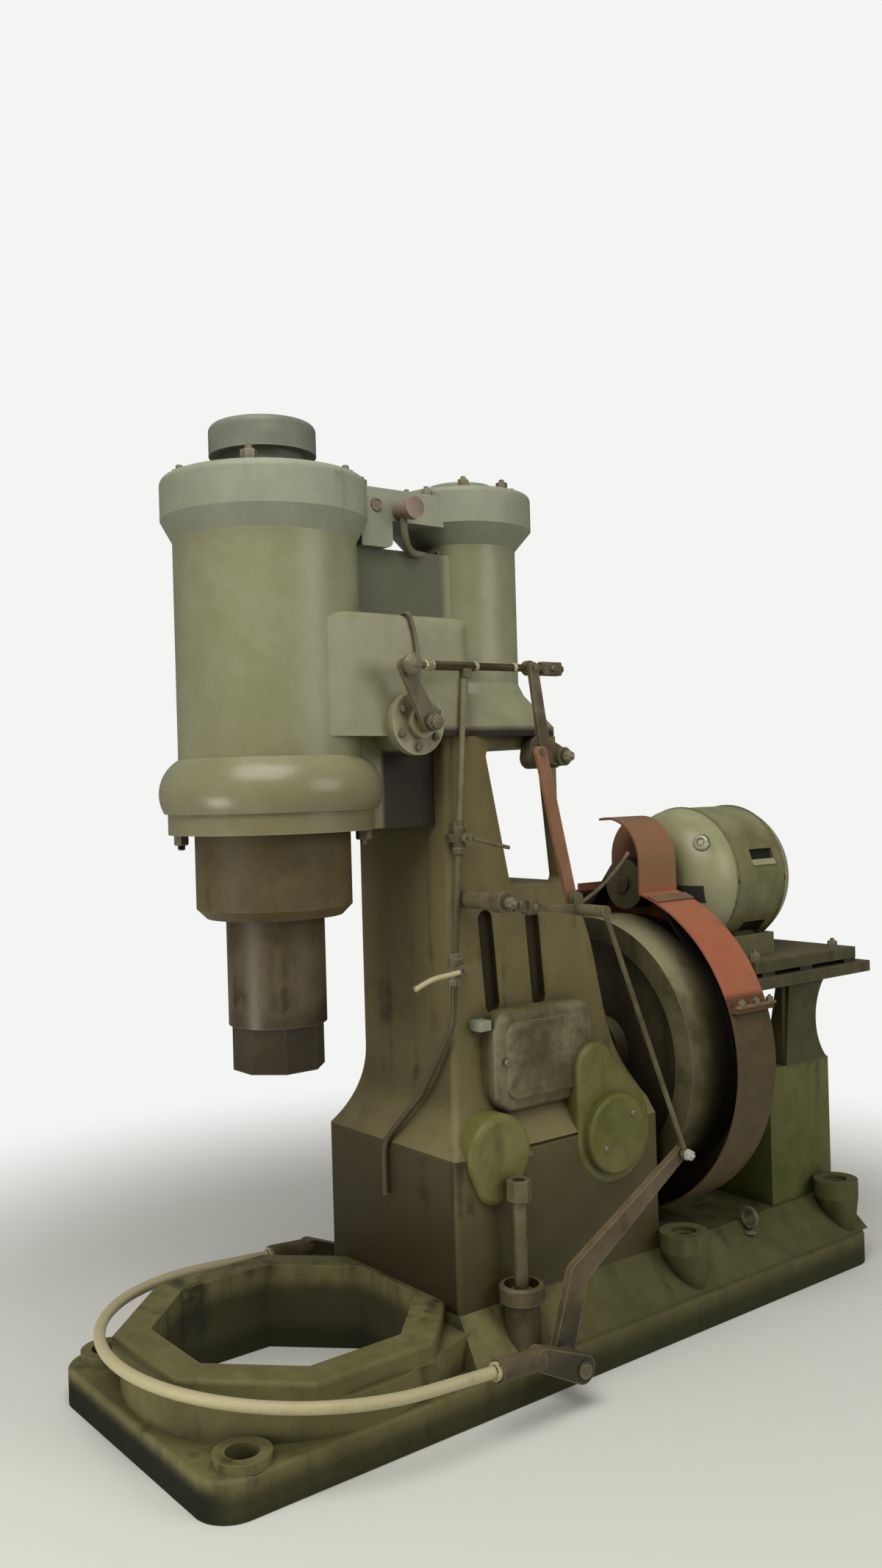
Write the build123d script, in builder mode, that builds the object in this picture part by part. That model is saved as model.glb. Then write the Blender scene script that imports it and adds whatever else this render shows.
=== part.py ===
from build123d import *
import os
from math import cos, radians, sin, sqrt, tan

os.makedirs("parts", exist_ok=True)

# Self-contained power hammer, millimetres. +Z is up, the ram faces -Y, the control linkage is on +X.
# The origin is on the floor, at the middle of the four corner anchor bolts.

# Running and seating clearances
slide_clearance = 0.6
pin_clearance = 0.4
seat_gap = 0.3

# Base casting
base_length = 2286
base_width = 812
flange_height = 90
flange_corner = 85
skirt_top_z = 200
anchor_spacing_x = 680
anchor_spacing_y = 2080
anchor_hole_r = 20
front_boss_r = 64
front_boss_height = 22
front_well_r = 38
front_well_depth = 45
cup_r = 66
cup_foot_r = 36
cup_neck_z = 205
cup_top_z = 255
cup_well_r = 34
cup_well_depth = 12
middle_cup_y = 345

# Anvil ring, which stands round the missing anvil
ram_y = -720
ring_outer_r = 400
ring_wall_top_z = 172
rim_flat = 385
rim_top_z = 220
opening_flat = 302
rim_round = 12

# Pedestal and column casting
pedestal_half_width = 280
pedestal_front_y = -400
pedestal_rear_y = 310
pedestal_top_z = 575
pedestal_corner = 14
column_half_width = 200
column_front_y = -333
column_rear_y = 72
column_top_z = 1620
flare_top_z = 790
column_corner = 18
rear_bevel = 28
seam_width = 8
seam_end_margin = 40
window_round = 22
groove_width = 48
groove_depth = 20
window_front_y = -205
window_rear_y = 20
window_top_z = 1590
window_bottom_z = 1225
window_lean = 78
cavity_half_width = 150

# Cylinder block
cylinder_r = 224
cylinder_top_z = 2100
collar_r = 272
collar_top_z = 1555
collar_seam_z = 1445
collar_flange_r = 252
block_bottom_z = 1395
bridge_half_width = 222
bridge_top_z = 1918
bridge_round = 24
recess_half_width = 90
bridge_rear_y = -245
web_half_width = 150
compressor_y = -100
compressor_r = 147
compressor_top_z = 2130
compressor_foot_r = 240
compressor_foot_top_z = 1735
compressor_foot_flange = 26
valve_boss_r = 80

# Cylinder heads
head_r = 252
head_height = 155
head_bevel = 52
cover_neck_r = 103
cover_neck_height = 57
cover_disc_r = 131
cover_disc_height = 76
compressor_head_r = 192
compressor_head_height = 148
compressor_cap_r = 92
compressor_cap_height = 30

# Ram and its guide
guide_r = 190
guide_bottom_z = 1190
guide_chamfer = 24
ram_r = 120
ram_bottom_z = 820
ram_joint_z = 930
ram_top_z = 1600
ram_flat = 104
ram_stroke = 330
ram_head_room = 40

# Crankshaft, flywheel and belt sheave
shaft_z = 705
shaft_r = 45
flywheel_front_y = 345
flywheel_width = 150
flywheel_r = 390
flywheel_rim = 62
flywheel_web = 40
hub_r = 95
sheave_width = 74
sheave_r = 378
sheave_gap = 6
belt_count = 4
belt_depth = 10
belt_width = 13
belt_sink = 8

# Motor
motor_z = 1183
motor_r = 220
motor_front_y = 640
motor_seam_y = 765
motor_rear_seam_y = 985
motor_rear_y = 1082
motor_shaft_r = 22
motor_foot_width = 70
motor_foot_x = 140
vent_depth = 18
vent_length = 108
upper_vent = (20, 34)
lower_vent = (-46, 64)
pulley_r = 76

# Belt guard
guard_r = 478
guard_sheet = 6
guard_front_y = 432
guard_top_r = 130
guard_top_z = 1256
guard_open_x = -30
guard_split_z = 860
guard_rear_gap = 14
guard_lug_reach = 20
guard_lug_height = 7
guard_foot_half = 60
guard_foot_depth = 70

# Motor stand
stand_front_y = 824
stand_half_width = 270
stand_top_z = 610
platform_z = 860
rail_height = 34
rail_width = 80
platform_half_width = 300
platform_gap = 14
platform_sheet = 34
rail_front_y = 700
rail_rear_y = 1310
plate_length = 500
bracket_sheet = 22
bracket_x = 262
bracket_front_y = 905
gusset_reach = 70

# Treadle
treadle_bar_r = 14
treadle_half_width = base_width / 2 + 94
treadle_front_y = -1160
treadle_bar_z = 160
treadle_bar_end_y = -430
treadle_tilt = 4.0
treadle_pivot_y = -215
treadle_pivot_z = 96
treadle_hub_r = 34
treadle_socket_r = 27
treadle_axle_r = 16
lever_x = base_width / 2 + 20
lever_thickness = 20
lever_pin_y = 232
lever_pin_z = 510

# Control linkage
rocker_y = -300
rocker_z = 1208
rocker_x = 348
rocker_thickness = 20
rod_pin_y = -43
rod_pin_z = 1170
rod_r = 8
rod_eye_thickness = 14
valve_shaft_y = -55
valve_shaft_z = 1562
valve_link_x = 332
valve_link_thickness = 12
link_foot = (-45, 1200)
link_top = (-135, 1572)
crank_knee = (-112, 1598)
tie_pin_y = -142
valve_lever_x = 318
valve_lever_thickness = 12
tie_rod_z = 1788
front_valve_y = -450
front_valve_z = 1650
front_valve_r = 78
front_eye = (-524, 1784)


def side_plane(x):
    """A plane square to X, with its sketch axes along Y and Z."""
    return Plane(origin=(x, 0, 0), x_dir=(0, 1, 0), z_dir=(1, 0, 0))


def front_plane(y):
    """A plane square to Y, facing the rear, with its sketch axes along -X and Z."""
    return Plane(origin=(0, y, 0), x_dir=(-1, 0, 0), z_dir=(0, 1, 0))


def height_plane(z):
    return Plane.XY.offset(z)


corner_anchors = [
    (x * anchor_spacing_x / 2, y * anchor_spacing_y / 2) for x in (-1, 1) for y in (-1, 1)
]
front_anchors = [p for p in corner_anchors if p[1] < 0]
cup_anchors = [p for p in corner_anchors if p[1] > 0]
cup_anchors += [(x * anchor_spacing_x / 2, middle_cup_y) for x in (-1, 1)]

# Base casting: flange, sloping skirt, anvil ring and anchor bosses
with BuildPart() as base_casting:
    with BuildSketch():
        RectangleRounded(base_width, base_length, flange_corner)
    extrude(amount=flange_height)
    fillet(base_casting.faces().sort_by(Axis.Z)[-1].edges(), 10)
    skirt_margin = 24
    skirt_front = pedestal_front_y - skirt_margin
    skirt_rear = base_length / 2 - 4
    with BuildSketch(height_plane(flange_height)):
        with Locations((0, (skirt_front + skirt_rear) / 2)):
            Rectangle(base_width - 2 * skirt_margin, skirt_rear - skirt_front)
    with BuildSketch(height_plane(skirt_top_z)):
        with Locations((0, (pedestal_front_y + skirt_rear) / 2 - skirt_margin / 2)):
            Rectangle(2 * pedestal_half_width, skirt_rear - pedestal_front_y - skirt_margin)
    loft()
    with BuildSketch():
        with BuildSketch(mode=Mode.PRIVATE) as neck:
            with Locations((0, ram_y)):
                Circle(ring_outer_r)
            with Locations((0, pedestal_front_y)):
                Rectangle(2 * pedestal_half_width + 2 * skirt_margin, 2 * skirt_margin)
        add(make_hull(neck.sketch.edges(), mode=Mode.PRIVATE))
    extrude(amount=ring_wall_top_z)
    with BuildSketch(height_plane(ring_wall_top_z)):
        with Locations((0, ram_y)):
            RegularPolygon(rim_flat, 8, major_radius=False, rotation=22.5)
    extrude(amount=rim_top_z - ring_wall_top_z)
    fillet(base_casting.faces().sort_by(Axis.Z)[-1].edges(), rim_round)
    with BuildSketch(height_plane(flange_height)):
        with Locations(*front_anchors):
            Circle(front_boss_r)
    extrude(amount=front_boss_height)
    for x, y in cup_anchors:
        with BuildSketch(height_plane(flange_height)):
            with Locations((x, y + cup_r - cup_foot_r)):
                Circle(cup_foot_r)
        with BuildSketch(height_plane(cup_neck_z)):
            with Locations((x, y)):
                Circle(cup_r)
        loft()
    with BuildSketch(height_plane(cup_neck_z)):
        with Locations(*cup_anchors):
            Circle(cup_r)
    extrude(amount=cup_top_z - cup_neck_z)
    with BuildSketch(height_plane(cup_top_z - cup_well_depth)):
        with Locations(*cup_anchors):
            Circle(cup_well_r)
    extrude(amount=cup_well_depth, mode=Mode.SUBTRACT)
    with BuildSketch():
        with Locations((0, ram_y)):
            RegularPolygon(opening_flat, 8, major_radius=False, rotation=22.5)
    extrude(amount=rim_top_z, mode=Mode.SUBTRACT)
    with BuildSketch(height_plane(flange_height + front_boss_height)):
        with Locations(*front_anchors):
            Circle(front_well_r)
    extrude(amount=-front_well_depth, mode=Mode.SUBTRACT)
    with BuildSketch():
        with Locations(*(front_anchors + cup_anchors)):
            Circle(anchor_hole_r)
    extrude(amount=cup_top_z, mode=Mode.SUBTRACT)
    with BuildSketch(side_plane(-base_width / 2)):
        with Locations((treadle_pivot_y, treadle_pivot_z)):
            Circle(treadle_axle_r)
    extrude(amount=base_width, mode=Mode.SUBTRACT)
    with BuildSketch(height_plane(skirt_top_z)):
        with Locations((0, (pedestal_front_y + pedestal_rear_y) / 2)):
            Rectangle(2 * pedestal_half_width, pedestal_rear_y - pedestal_front_y)
    extrude(amount=rim_top_z - skirt_top_z, mode=Mode.SUBTRACT)
base_casting.part.label = "base_casting"
export_step(base_casting.part, "parts/base_casting.step")

# Frame column: the side view and the front view of one casting, cut out of each other
rear_ledge_y = 232
with BuildPart() as frame_column:
    with BuildSketch(side_plane(-pedestal_half_width)):
        with BuildLine():
            Polyline(
                (column_front_y, flare_top_z),
                (column_front_y, column_top_z),
                (column_rear_y, column_top_z),
                (column_rear_y, 1400),
            )
            Spline(
                (column_rear_y, 1400),
                (170, 1094),
                (rear_ledge_y, 850),
                (pedestal_rear_y, 660),
                tangents=((0, -1), (1, -1.6)),
            )
            Polyline(
                (pedestal_rear_y, 660),
                (pedestal_rear_y, skirt_top_z),
                (pedestal_front_y, skirt_top_z),
                (pedestal_front_y, pedestal_top_z),
            )
            TangentArc(
                (column_front_y, flare_top_z),
                (pedestal_front_y, pedestal_top_z),
                tangent=(0, -1),
            )
        make_face()
    extrude(amount=2 * pedestal_half_width)
    with BuildSketch(front_plane(pedestal_front_y)):
        with BuildLine() as front_view:
            Polyline(
                (0, column_top_z),
                (column_half_width, column_top_z),
                (column_half_width, flare_top_z),
            )
            TangentArc(
                (column_half_width, flare_top_z),
                (pedestal_half_width, pedestal_top_z),
                tangent=(0, -1),
            )
            Polyline(
                (pedestal_half_width, pedestal_top_z),
                (pedestal_half_width, skirt_top_z),
                (0, skirt_top_z),
            )
            mirror(about=Plane.YZ)
        make_face()
    extrude(amount=pedestal_rear_y - pedestal_front_y, mode=Mode.INTERSECT)
    upright = frame_column.edges().filter_by(Axis.Z)
    fillet(upright.filter_by_position(Axis.Y, column_front_y - 1, column_front_y + 1), column_corner)
    upright = frame_column.edges().filter_by(Axis.Z)
    fillet(
        upright.filter_by_position(Axis.Y, pedestal_front_y - 1, pedestal_front_y + 1), pedestal_corner
    )
    rear_edges = [
        edge
        for edge in frame_column.edges()
        if abs(abs(edge.center().X) - column_half_width) < 1
        and edge.center().Y > column_rear_y + 2
        and flare_top_z < edge.center().Z < 1400
    ]
    chamfer(rear_edges, rear_bevel)
    with BuildSketch(side_plane(pedestal_half_width)):
        seam_middle_y = (pedestal_front_y + pedestal_rear_y + seam_end_margin) / 2
        with Locations((seam_middle_y, pedestal_top_z - seam_width / 2)):
            Rectangle(pedestal_rear_y - pedestal_front_y - 3 * seam_end_margin, seam_width)
    extrude(amount=-seam_width, mode=Mode.SUBTRACT)
    cavity_depth = pedestal_rear_y - window_front_y
    with BuildSketch(height_plane(window_bottom_z)):
        with Locations((0, window_front_y + cavity_depth / 2)):
            Rectangle(2 * cavity_half_width, cavity_depth)
    extrude(amount=window_top_z - window_bottom_z, mode=Mode.SUBTRACT)
    with BuildSketch(side_plane(-pedestal_half_width)):
        with BuildLine():
            Polyline(
                (window_front_y, window_top_z),
                (window_rear_y, window_top_z),
                (window_rear_y + window_lean / 2, window_bottom_z),
                (window_front_y + window_lean, window_bottom_z),
                close=True,
            )
        make_face()
        fillet(vertices(), window_round)
    extrude(amount=2 * pedestal_half_width, mode=Mode.SUBTRACT)
    for top, foot in (((-218, 1150), (-200, 930)), ((-57, 1140), (-40, 930))):
        with BuildSketch(side_plane(column_half_width)):
            with BuildSketch(mode=Mode.PRIVATE) as groove:
                with Locations(top, foot):
                    Circle(groove_width / 2)
            add(make_hull(groove.sketch.edges(), mode=Mode.PRIVATE))
        extrude(amount=-groove_depth, mode=Mode.SUBTRACT)
    with BuildSketch(front_plane(pedestal_rear_y)):
        with Locations((0, shaft_z)):
            Circle(shaft_r + slide_clearance)
    extrude(amount=-120, mode=Mode.SUBTRACT)
frame_column.part.label = "frame_column"
export_step(frame_column.part, "parts/frame_column.step")

# Cylinder block: ram cylinder, compressor cylinder and the bridge between them
ram_bore_r = ram_r + slide_clearance
with BuildPart() as bridge:
    with BuildSketch(height_plane(column_top_z)):
        with Locations((0, (ram_y + bridge_rear_y) / 2)):
            Rectangle(2 * bridge_half_width, bridge_rear_y - ram_y)
    extrude(amount=bridge_top_z - column_top_z)
    rear_upright = bridge.edges().filter_by(Axis.Z).group_by(Axis.Y)[-1]
    fillet(rear_upright, 2 * bridge_round)
    fillet(bridge.faces().sort_by(Axis.Z)[-1].edges(), bridge_round)
with BuildPart() as cylinder_block:
    with BuildSketch(Plane.YZ):
        with BuildLine():
            Polyline(
                (ram_y, block_bottom_z),
                (ram_y + collar_flange_r, block_bottom_z),
                (ram_y + collar_flange_r, collar_seam_z),
                (ram_y + collar_r - 12, collar_seam_z),
            )
            ThreePointArc(
                (ram_y + collar_r - 12, collar_seam_z),
                (ram_y + collar_r, collar_seam_z + 50),
                (ram_y + cylinder_r, collar_top_z + 20),
            )
            Polyline(
                (ram_y + cylinder_r, collar_top_z + 20),
                (ram_y + cylinder_r, cylinder_top_z),
                (ram_y, cylinder_top_z),
                (ram_y, block_bottom_z),
            )
        make_face()
    revolve(axis=Axis((0, ram_y, 0), (0, 0, 1)))
    add(bridge.part)
    with BuildSketch(height_plane(bridge_top_z)):
        with Locations((0, (ram_y + compressor_y) / 2)):
            Rectangle(2 * recess_half_width, compressor_y - ram_y)
    extrude(amount=cylinder_top_z - bridge_top_z)
    with BuildSketch(height_plane(block_bottom_z)):
        with Locations((0, (ram_y + column_front_y) / 2)):
            Rectangle(2 * web_half_width, column_front_y - ram_y)
    extrude(amount=column_top_z - block_bottom_z)
    with BuildSketch(Plane.YZ):
        with BuildLine():
            Polyline(
                (compressor_y, column_top_z),
                (compressor_y + compressor_foot_r, column_top_z),
                (compressor_y + compressor_foot_r, column_top_z + compressor_foot_flange),
                (compressor_y + compressor_r + 14, compressor_foot_top_z),
                (compressor_y + compressor_r, compressor_foot_top_z + 30),
                (compressor_y + compressor_r, compressor_top_z),
                (compressor_y, compressor_top_z),
                close=True,
            )
        make_face()
    revolve(axis=Axis((0, compressor_y, 0), (0, 0, 1)))
    with BuildSketch(side_plane(-bridge_half_width)):
        with Locations((front_valve_y, front_valve_z)):
            Circle(valve_boss_r)
    extrude(amount=2 * bridge_half_width)
    with BuildSketch(height_plane(block_bottom_z)):
        with Locations((0, ram_y)):
            Circle(ram_bore_r)
    extrude(amount=ram_top_z + ram_stroke + ram_head_room - block_bottom_z, mode=Mode.SUBTRACT)
cylinder_block.part.label = "cylinder_block"
export_step(cylinder_block.part, "parts/cylinder_block.step")

# Heads and covers on the two cylinders
head_top_z = cylinder_top_z + head_height
compressor_head_top_z = compressor_top_z + compressor_head_height


def bevelled_head(centre_y, foot_r, r, low_z, high_z, round_r):
    """A cylinder head whose underside slopes in to the cylinder, with a rounded top edge."""
    with BuildPart(mode=Mode.PRIVATE) as head:
        with BuildSketch(Plane.YZ):
            with BuildLine():
                Polyline(
                    (centre_y, low_z),
                    (centre_y + foot_r, low_z),
                    (centre_y + r, low_z + head_bevel),
                    (centre_y + r, high_z),
                    (centre_y, high_z),
                    close=True,
                )
            make_face()
        revolve(axis=Axis((0, centre_y, 0), (0, 0, 1)))
        fillet(head.faces().sort_by(Axis.Z)[-1].edges(), round_r)
    return head.part


with BuildPart() as ram_cylinder_head:
    add(bevelled_head(ram_y, cylinder_r, head_r, cylinder_top_z, head_top_z, 20))
ram_cylinder_head.part.label = "ram_cylinder_head"
export_step(ram_cylinder_head.part, "parts/ram_cylinder_head.step")

with BuildPart() as head_cover:
    with BuildSketch(height_plane(head_top_z)):
        with Locations((0, ram_y)):
            Circle(cover_neck_r)
    extrude(amount=cover_neck_height)
    with BuildSketch(height_plane(head_top_z + cover_neck_height)):
        with Locations((0, ram_y)):
            Circle(cover_disc_r)
    extrude(amount=cover_disc_height)
    fillet(head_cover.faces().sort_by(Axis.Z)[-1].edges(), 18)
head_cover.part.label = "head_cover"
export_step(head_cover.part, "parts/head_cover.step")

with BuildPart() as compressor_head:
    add(bevelled_head(compressor_y, compressor_r, compressor_head_r, compressor_top_z,
                      compressor_head_top_z, 16))
    with BuildSketch(height_plane(compressor_head_top_z)):
        with Locations((0, compressor_y)):
            Circle(compressor_cap_r)
    extrude(amount=compressor_cap_height)
    fillet(compressor_head.faces().sort_by(Axis.Z)[-1].edges(), 8)
compressor_head.part.label = "compressor_head"
export_step(compressor_head.part, "parts/compressor_head.step")

# Ram guide, bolted under the cylinder, and the ram that slides in it
with BuildPart() as ram_guide:
    with BuildSketch(height_plane(guide_bottom_z)):
        with Locations((0, ram_y)):
            Circle(guide_r)
    extrude(amount=block_bottom_z - guide_bottom_z)
    chamfer(ram_guide.faces().sort_by(Axis.Z)[0].edges(), guide_chamfer)
    with BuildSketch(height_plane(guide_bottom_z)):
        with Locations((0, ram_y)):
            Circle(ram_bore_r)
    extrude(amount=block_bottom_z - guide_bottom_z, mode=Mode.SUBTRACT)
ram_guide.part.label = "ram_guide"
export_step(ram_guide.part, "parts/ram_guide.step")

with BuildPart() as ram:
    with BuildSketch(height_plane(ram_joint_z)):
        with Locations((0, ram_y)):
            Circle(ram_r)
    extrude(amount=ram_top_z - ram_joint_z)
ram.part.label = "ram"
export_step(ram.part, "parts/ram.step")

with BuildPart() as ram_tup:
    with BuildSketch(height_plane(ram_bottom_z)):
        with Locations((0, ram_y)):
            Circle(ram_r - 2)
            RegularPolygon(ram_flat, 8, major_radius=False, rotation=22.5, mode=Mode.INTERSECT)
    extrude(amount=ram_joint_z - ram_bottom_z)
ram_tup.part.label = "ram_tup"
export_step(ram_tup.part, "parts/ram_tup.step")

# Crankshaft end, flywheel and belt sheave
sheave_front_y = flywheel_front_y + flywheel_width + sheave_gap
sheave_rear_y = sheave_front_y + sheave_width
shaft_axis = Axis((0, 0, shaft_z), (0, 1, 0))
with BuildPart() as crankshaft:
    with BuildSketch(front_plane(pedestal_rear_y - 110)):
        with Locations((0, shaft_z)):
            Circle(shaft_r)
    extrude(amount=sheave_rear_y - pedestal_rear_y + 110 + 8)
crankshaft.part.label = "crankshaft"
export_step(crankshaft.part, "parts/crankshaft.step")

web_y = flywheel_front_y + flywheel_width / 2
with BuildPart() as flywheel:
    with BuildSketch(front_plane(flywheel_front_y)):
        with Locations((0, shaft_z)):
            Circle(flywheel_r)
            Circle(flywheel_r - flywheel_rim, mode=Mode.SUBTRACT)
    extrude(amount=flywheel_width)
    with BuildSketch(front_plane(web_y - flywheel_web / 2)):
        with Locations((0, shaft_z)):
            Circle(flywheel_r - flywheel_rim / 2)
    extrude(amount=flywheel_web)
    with BuildSketch(front_plane(flywheel_front_y + 10)):
        with Locations((0, shaft_z)):
            Circle(hub_r)
    extrude(amount=flywheel_width - 10 + sheave_gap)
    with BuildSketch(front_plane(flywheel_front_y)):
        with Locations((0, shaft_z)):
            Circle(shaft_r)
    extrude(amount=flywheel_width + sheave_gap, mode=Mode.SUBTRACT)
flywheel.part.label = "flywheel"
export_step(flywheel.part, "parts/flywheel.step")

belt_pitch = sheave_width / belt_count
belt_starts = [
    sheave_front_y + belt_pitch * (number + 0.5) - belt_width / 2 for number in range(belt_count)
]


def grooved_wheel(centre_z, r, bore_r):
    """A belt wheel with a groove for each belt."""
    with BuildPart(mode=Mode.PRIVATE) as wheel:
        with BuildSketch(front_plane(sheave_front_y)):
            with Locations((0, centre_z)):
                Circle(r)
                Circle(bore_r, mode=Mode.SUBTRACT)
        extrude(amount=sheave_width)
        for belt_y in belt_starts:
            with BuildSketch(front_plane(belt_y - 1)):
                with Locations((0, centre_z)):
                    Circle(r + 1)
                    Circle(r - belt_sink - 1, mode=Mode.SUBTRACT)
            extrude(amount=belt_width + 2, mode=Mode.SUBTRACT)
    return wheel.part


with BuildPart() as drive_sheave:
    add(grooved_wheel(shaft_z, sheave_r, shaft_r))
drive_sheave.part.label = "drive_sheave"
export_step(drive_sheave.part, "parts/drive_sheave.step")

with BuildPart() as motor_pulley:
    add(grooved_wheel(motor_z, pulley_r, motor_shaft_r))
motor_pulley.part.label = "motor_pulley"
export_step(motor_pulley.part, "parts/motor_pulley.step")

with BuildPart() as motor_shaft:
    with BuildSketch(front_plane(sheave_front_y - 12)):
        with Locations((0, motor_z)):
            Circle(motor_shaft_r)
    extrude(amount=motor_front_y + 40 - sheave_front_y + 12)
motor_shaft.part.label = "motor_shaft"
export_step(motor_shaft.part, "parts/motor_shaft.step")

# Drive belts: closed loops in the grooves of the sheave and the pulley
with BuildPart() as drive_belts:
    for belt_y in belt_starts:
        with BuildSketch(front_plane(belt_y)):
            for reach, cut in ((belt_depth - belt_sink, Mode.ADD), (-belt_sink, Mode.SUBTRACT)):
                with BuildSketch(mode=Mode.PRIVATE) as outline:
                    with Locations((0, shaft_z)):
                        Circle(sheave_r + reach)
                    with Locations((0, motor_z)):
                        Circle(pulley_r + reach)
                add(make_hull(outline.sketch.edges(), mode=Mode.PRIVATE), mode=cut)
        extrude(amount=belt_width)
drive_belts.part.label = "drive_belts"
export_step(drive_belts.part, "parts/drive_belts.step")

# Belt guard: a band with a back sheet, keyhole shaped, split where the upper half is clamped on
guard_back_y = sheave_rear_y + guard_rear_gap
guard_depth = guard_back_y - guard_front_y


def keyhole(inset):
    """The guard's outline, a big circle and a small one joined by upright sides."""
    with Locations((0, shaft_z)):
        Circle(guard_r - inset)
    with Locations((0, guard_top_z)):
        Circle(guard_top_r - inset)
    with Locations((0, (shaft_z + guard_top_z) / 2)):
        Rectangle(2 * (guard_top_r - inset), guard_top_z - shaft_z)


def guard_half(low_z, high_z):
    """The guard between two heights."""
    with BuildPart(mode=Mode.PRIVATE) as half:
        with BuildSketch(front_plane(guard_front_y)):
            keyhole(0)
        extrude(amount=guard_depth)
        with BuildSketch(front_plane(guard_front_y)):
            keyhole(guard_sheet)
        extrude(amount=guard_depth - guard_sheet, mode=Mode.SUBTRACT)
        with BuildSketch(front_plane(guard_front_y)):
            for z, r in ((shaft_z, shaft_r + 8), (motor_z, motor_shaft_r + 8)):
                with Locations((0, z)):
                    Circle(r)
        extrude(amount=guard_depth, mode=Mode.SUBTRACT)
        with BuildSketch(front_plane(guard_front_y)):
            with Locations((0, (low_z + high_z) / 2)):
                Rectangle(2 * guard_r, high_z - low_z)
        extrude(amount=guard_depth, mode=Mode.INTERSECT)
    return half.part


def guard_lugs(low_z):
    """The two flanges where the halves of the guard are clamped together."""
    split_half = sqrt(guard_r**2 - (guard_split_z - shaft_z) ** 2)
    with BuildPart(mode=Mode.PRIVATE) as lugs:
        with BuildSketch(height_plane(low_z)):
            for side in (-1, 1):
                with Locations((side * (split_half + 6), (guard_front_y + guard_back_y) / 2)):
                    Rectangle(2 * guard_lug_reach, guard_depth)
        extrude(amount=guard_lug_height)
        with BuildSketch(front_plane(guard_front_y)):
            with Locations((0, shaft_z)):
                Circle(guard_r - guard_sheet)
        extrude(amount=guard_depth, mode=Mode.SUBTRACT)
    return lugs.part


with BuildPart() as belt_guard_upper:
    add(guard_half(guard_split_z, guard_top_z + 2 * guard_top_r))
    with BuildSketch(front_plane(guard_front_y)):
        with Locations((guard_r / 2 - guard_open_x, shaft_z + guard_r + guard_top_r)):
            Rectangle(guard_r, 2 * guard_top_r)
    extrude(amount=guard_depth - guard_sheet, mode=Mode.SUBTRACT)
    add(guard_lugs(guard_split_z))
belt_guard_upper.part.label = "belt_guard_upper"
export_step(belt_guard_upper.part, "parts/belt_guard_upper.step")

with BuildPart() as belt_guard_lower:
    add(guard_half(shaft_z - 1.2 * guard_r, guard_split_z))
    add(guard_lugs(guard_split_z - guard_lug_height))
    with BuildSketch(height_plane(skirt_top_z)):
        with Locations((0, guard_back_y - guard_foot_depth / 2)):
            Rectangle(2 * guard_foot_half, guard_foot_depth)
    extrude(amount=shaft_z - guard_r + 2 * guard_sheet - skirt_top_z)
    with BuildSketch(front_plane(guard_front_y)):
        with Locations((0, shaft_z)):
            Circle(guard_r - guard_sheet)
    extrude(amount=guard_depth - guard_sheet, mode=Mode.SUBTRACT)
belt_guard_lower.part.label = "belt_guard_lower"
export_step(belt_guard_lower.part, "parts/belt_guard_lower.step")

# Motor stand: cast block on the base, bracket plates and the rails of the platform
with BuildPart() as rear_pedestal:
    stand_rear_y = skirt_rear - skirt_margin
    with BuildSketch(height_plane(skirt_top_z)):
        with Locations((0, (stand_front_y + stand_rear_y) / 2)):
            Rectangle(2 * stand_half_width, stand_rear_y - stand_front_y)
    extrude(amount=stand_top_z - skirt_top_z)
rear_pedestal.part.label = "rear_pedestal"
export_step(rear_pedestal.part, "parts/rear_pedestal.step")

with BuildPart() as motor_bracket:
    for side in (-1, 1):
        with BuildSketch(side_plane(side * bracket_x - bracket_sheet / 2)):
            with BuildLine():
                Polyline(
                    (stand_rear_y - 10, platform_z),
                    (bracket_front_y + bracket_sheet, platform_z),
                    (bracket_front_y, stand_top_z),
                    (stand_rear_y - 10, stand_top_z),
                )
                ThreePointArc(
                    (stand_rear_y - 10, stand_top_z),
                    (stand_rear_y - 60, (stand_top_z + platform_z) / 2),
                    (stand_rear_y - 10, platform_z),
                )
            make_face()
        extrude(amount=bracket_sheet)
        with BuildSketch(front_plane(bracket_front_y)):
            with BuildLine():
                Polyline(
                    (-side * bracket_x, stand_top_z),
                    (-side * (bracket_x - gusset_reach), stand_top_z),
                    (-side * (bracket_x - bracket_sheet), platform_z),
                    (-side * bracket_x, platform_z),
                    close=True,
                )
            make_face()
        extrude(amount=bracket_sheet)
motor_bracket.part.label = "motor_bracket"
export_step(motor_bracket.part, "parts/motor_bracket.step")

plate_z = platform_z + rail_height + platform_gap
motor_seat_z = plate_z + platform_sheet
rail_middle_y = (rail_front_y + rail_rear_y) / 2
with BuildPart() as motor_platform:
    with BuildSketch(height_plane(platform_z)):
        for side in (-1, 1):
            with Locations((side * (platform_half_width - rail_width / 2), rail_middle_y)):
                Rectangle(rail_width, rail_rear_y - rail_front_y)
    extrude(amount=rail_height)
    with BuildSketch(height_plane(platform_z + rail_height)):
        for y in (rail_front_y + 120, rail_middle_y, rail_rear_y - 80):
            with Locations((0, y)):
                Rectangle(2 * platform_half_width - 40, 60)
    extrude(amount=platform_gap)
    with BuildSketch(height_plane(plate_z)):
        with Locations((0, rail_middle_y)):
            Rectangle(2 * platform_half_width - 30, plate_length)
    extrude(amount=platform_sheet)
motor_platform.part.label = "motor_platform"
export_step(motor_platform.part, "parts/motor_platform.step")

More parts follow.
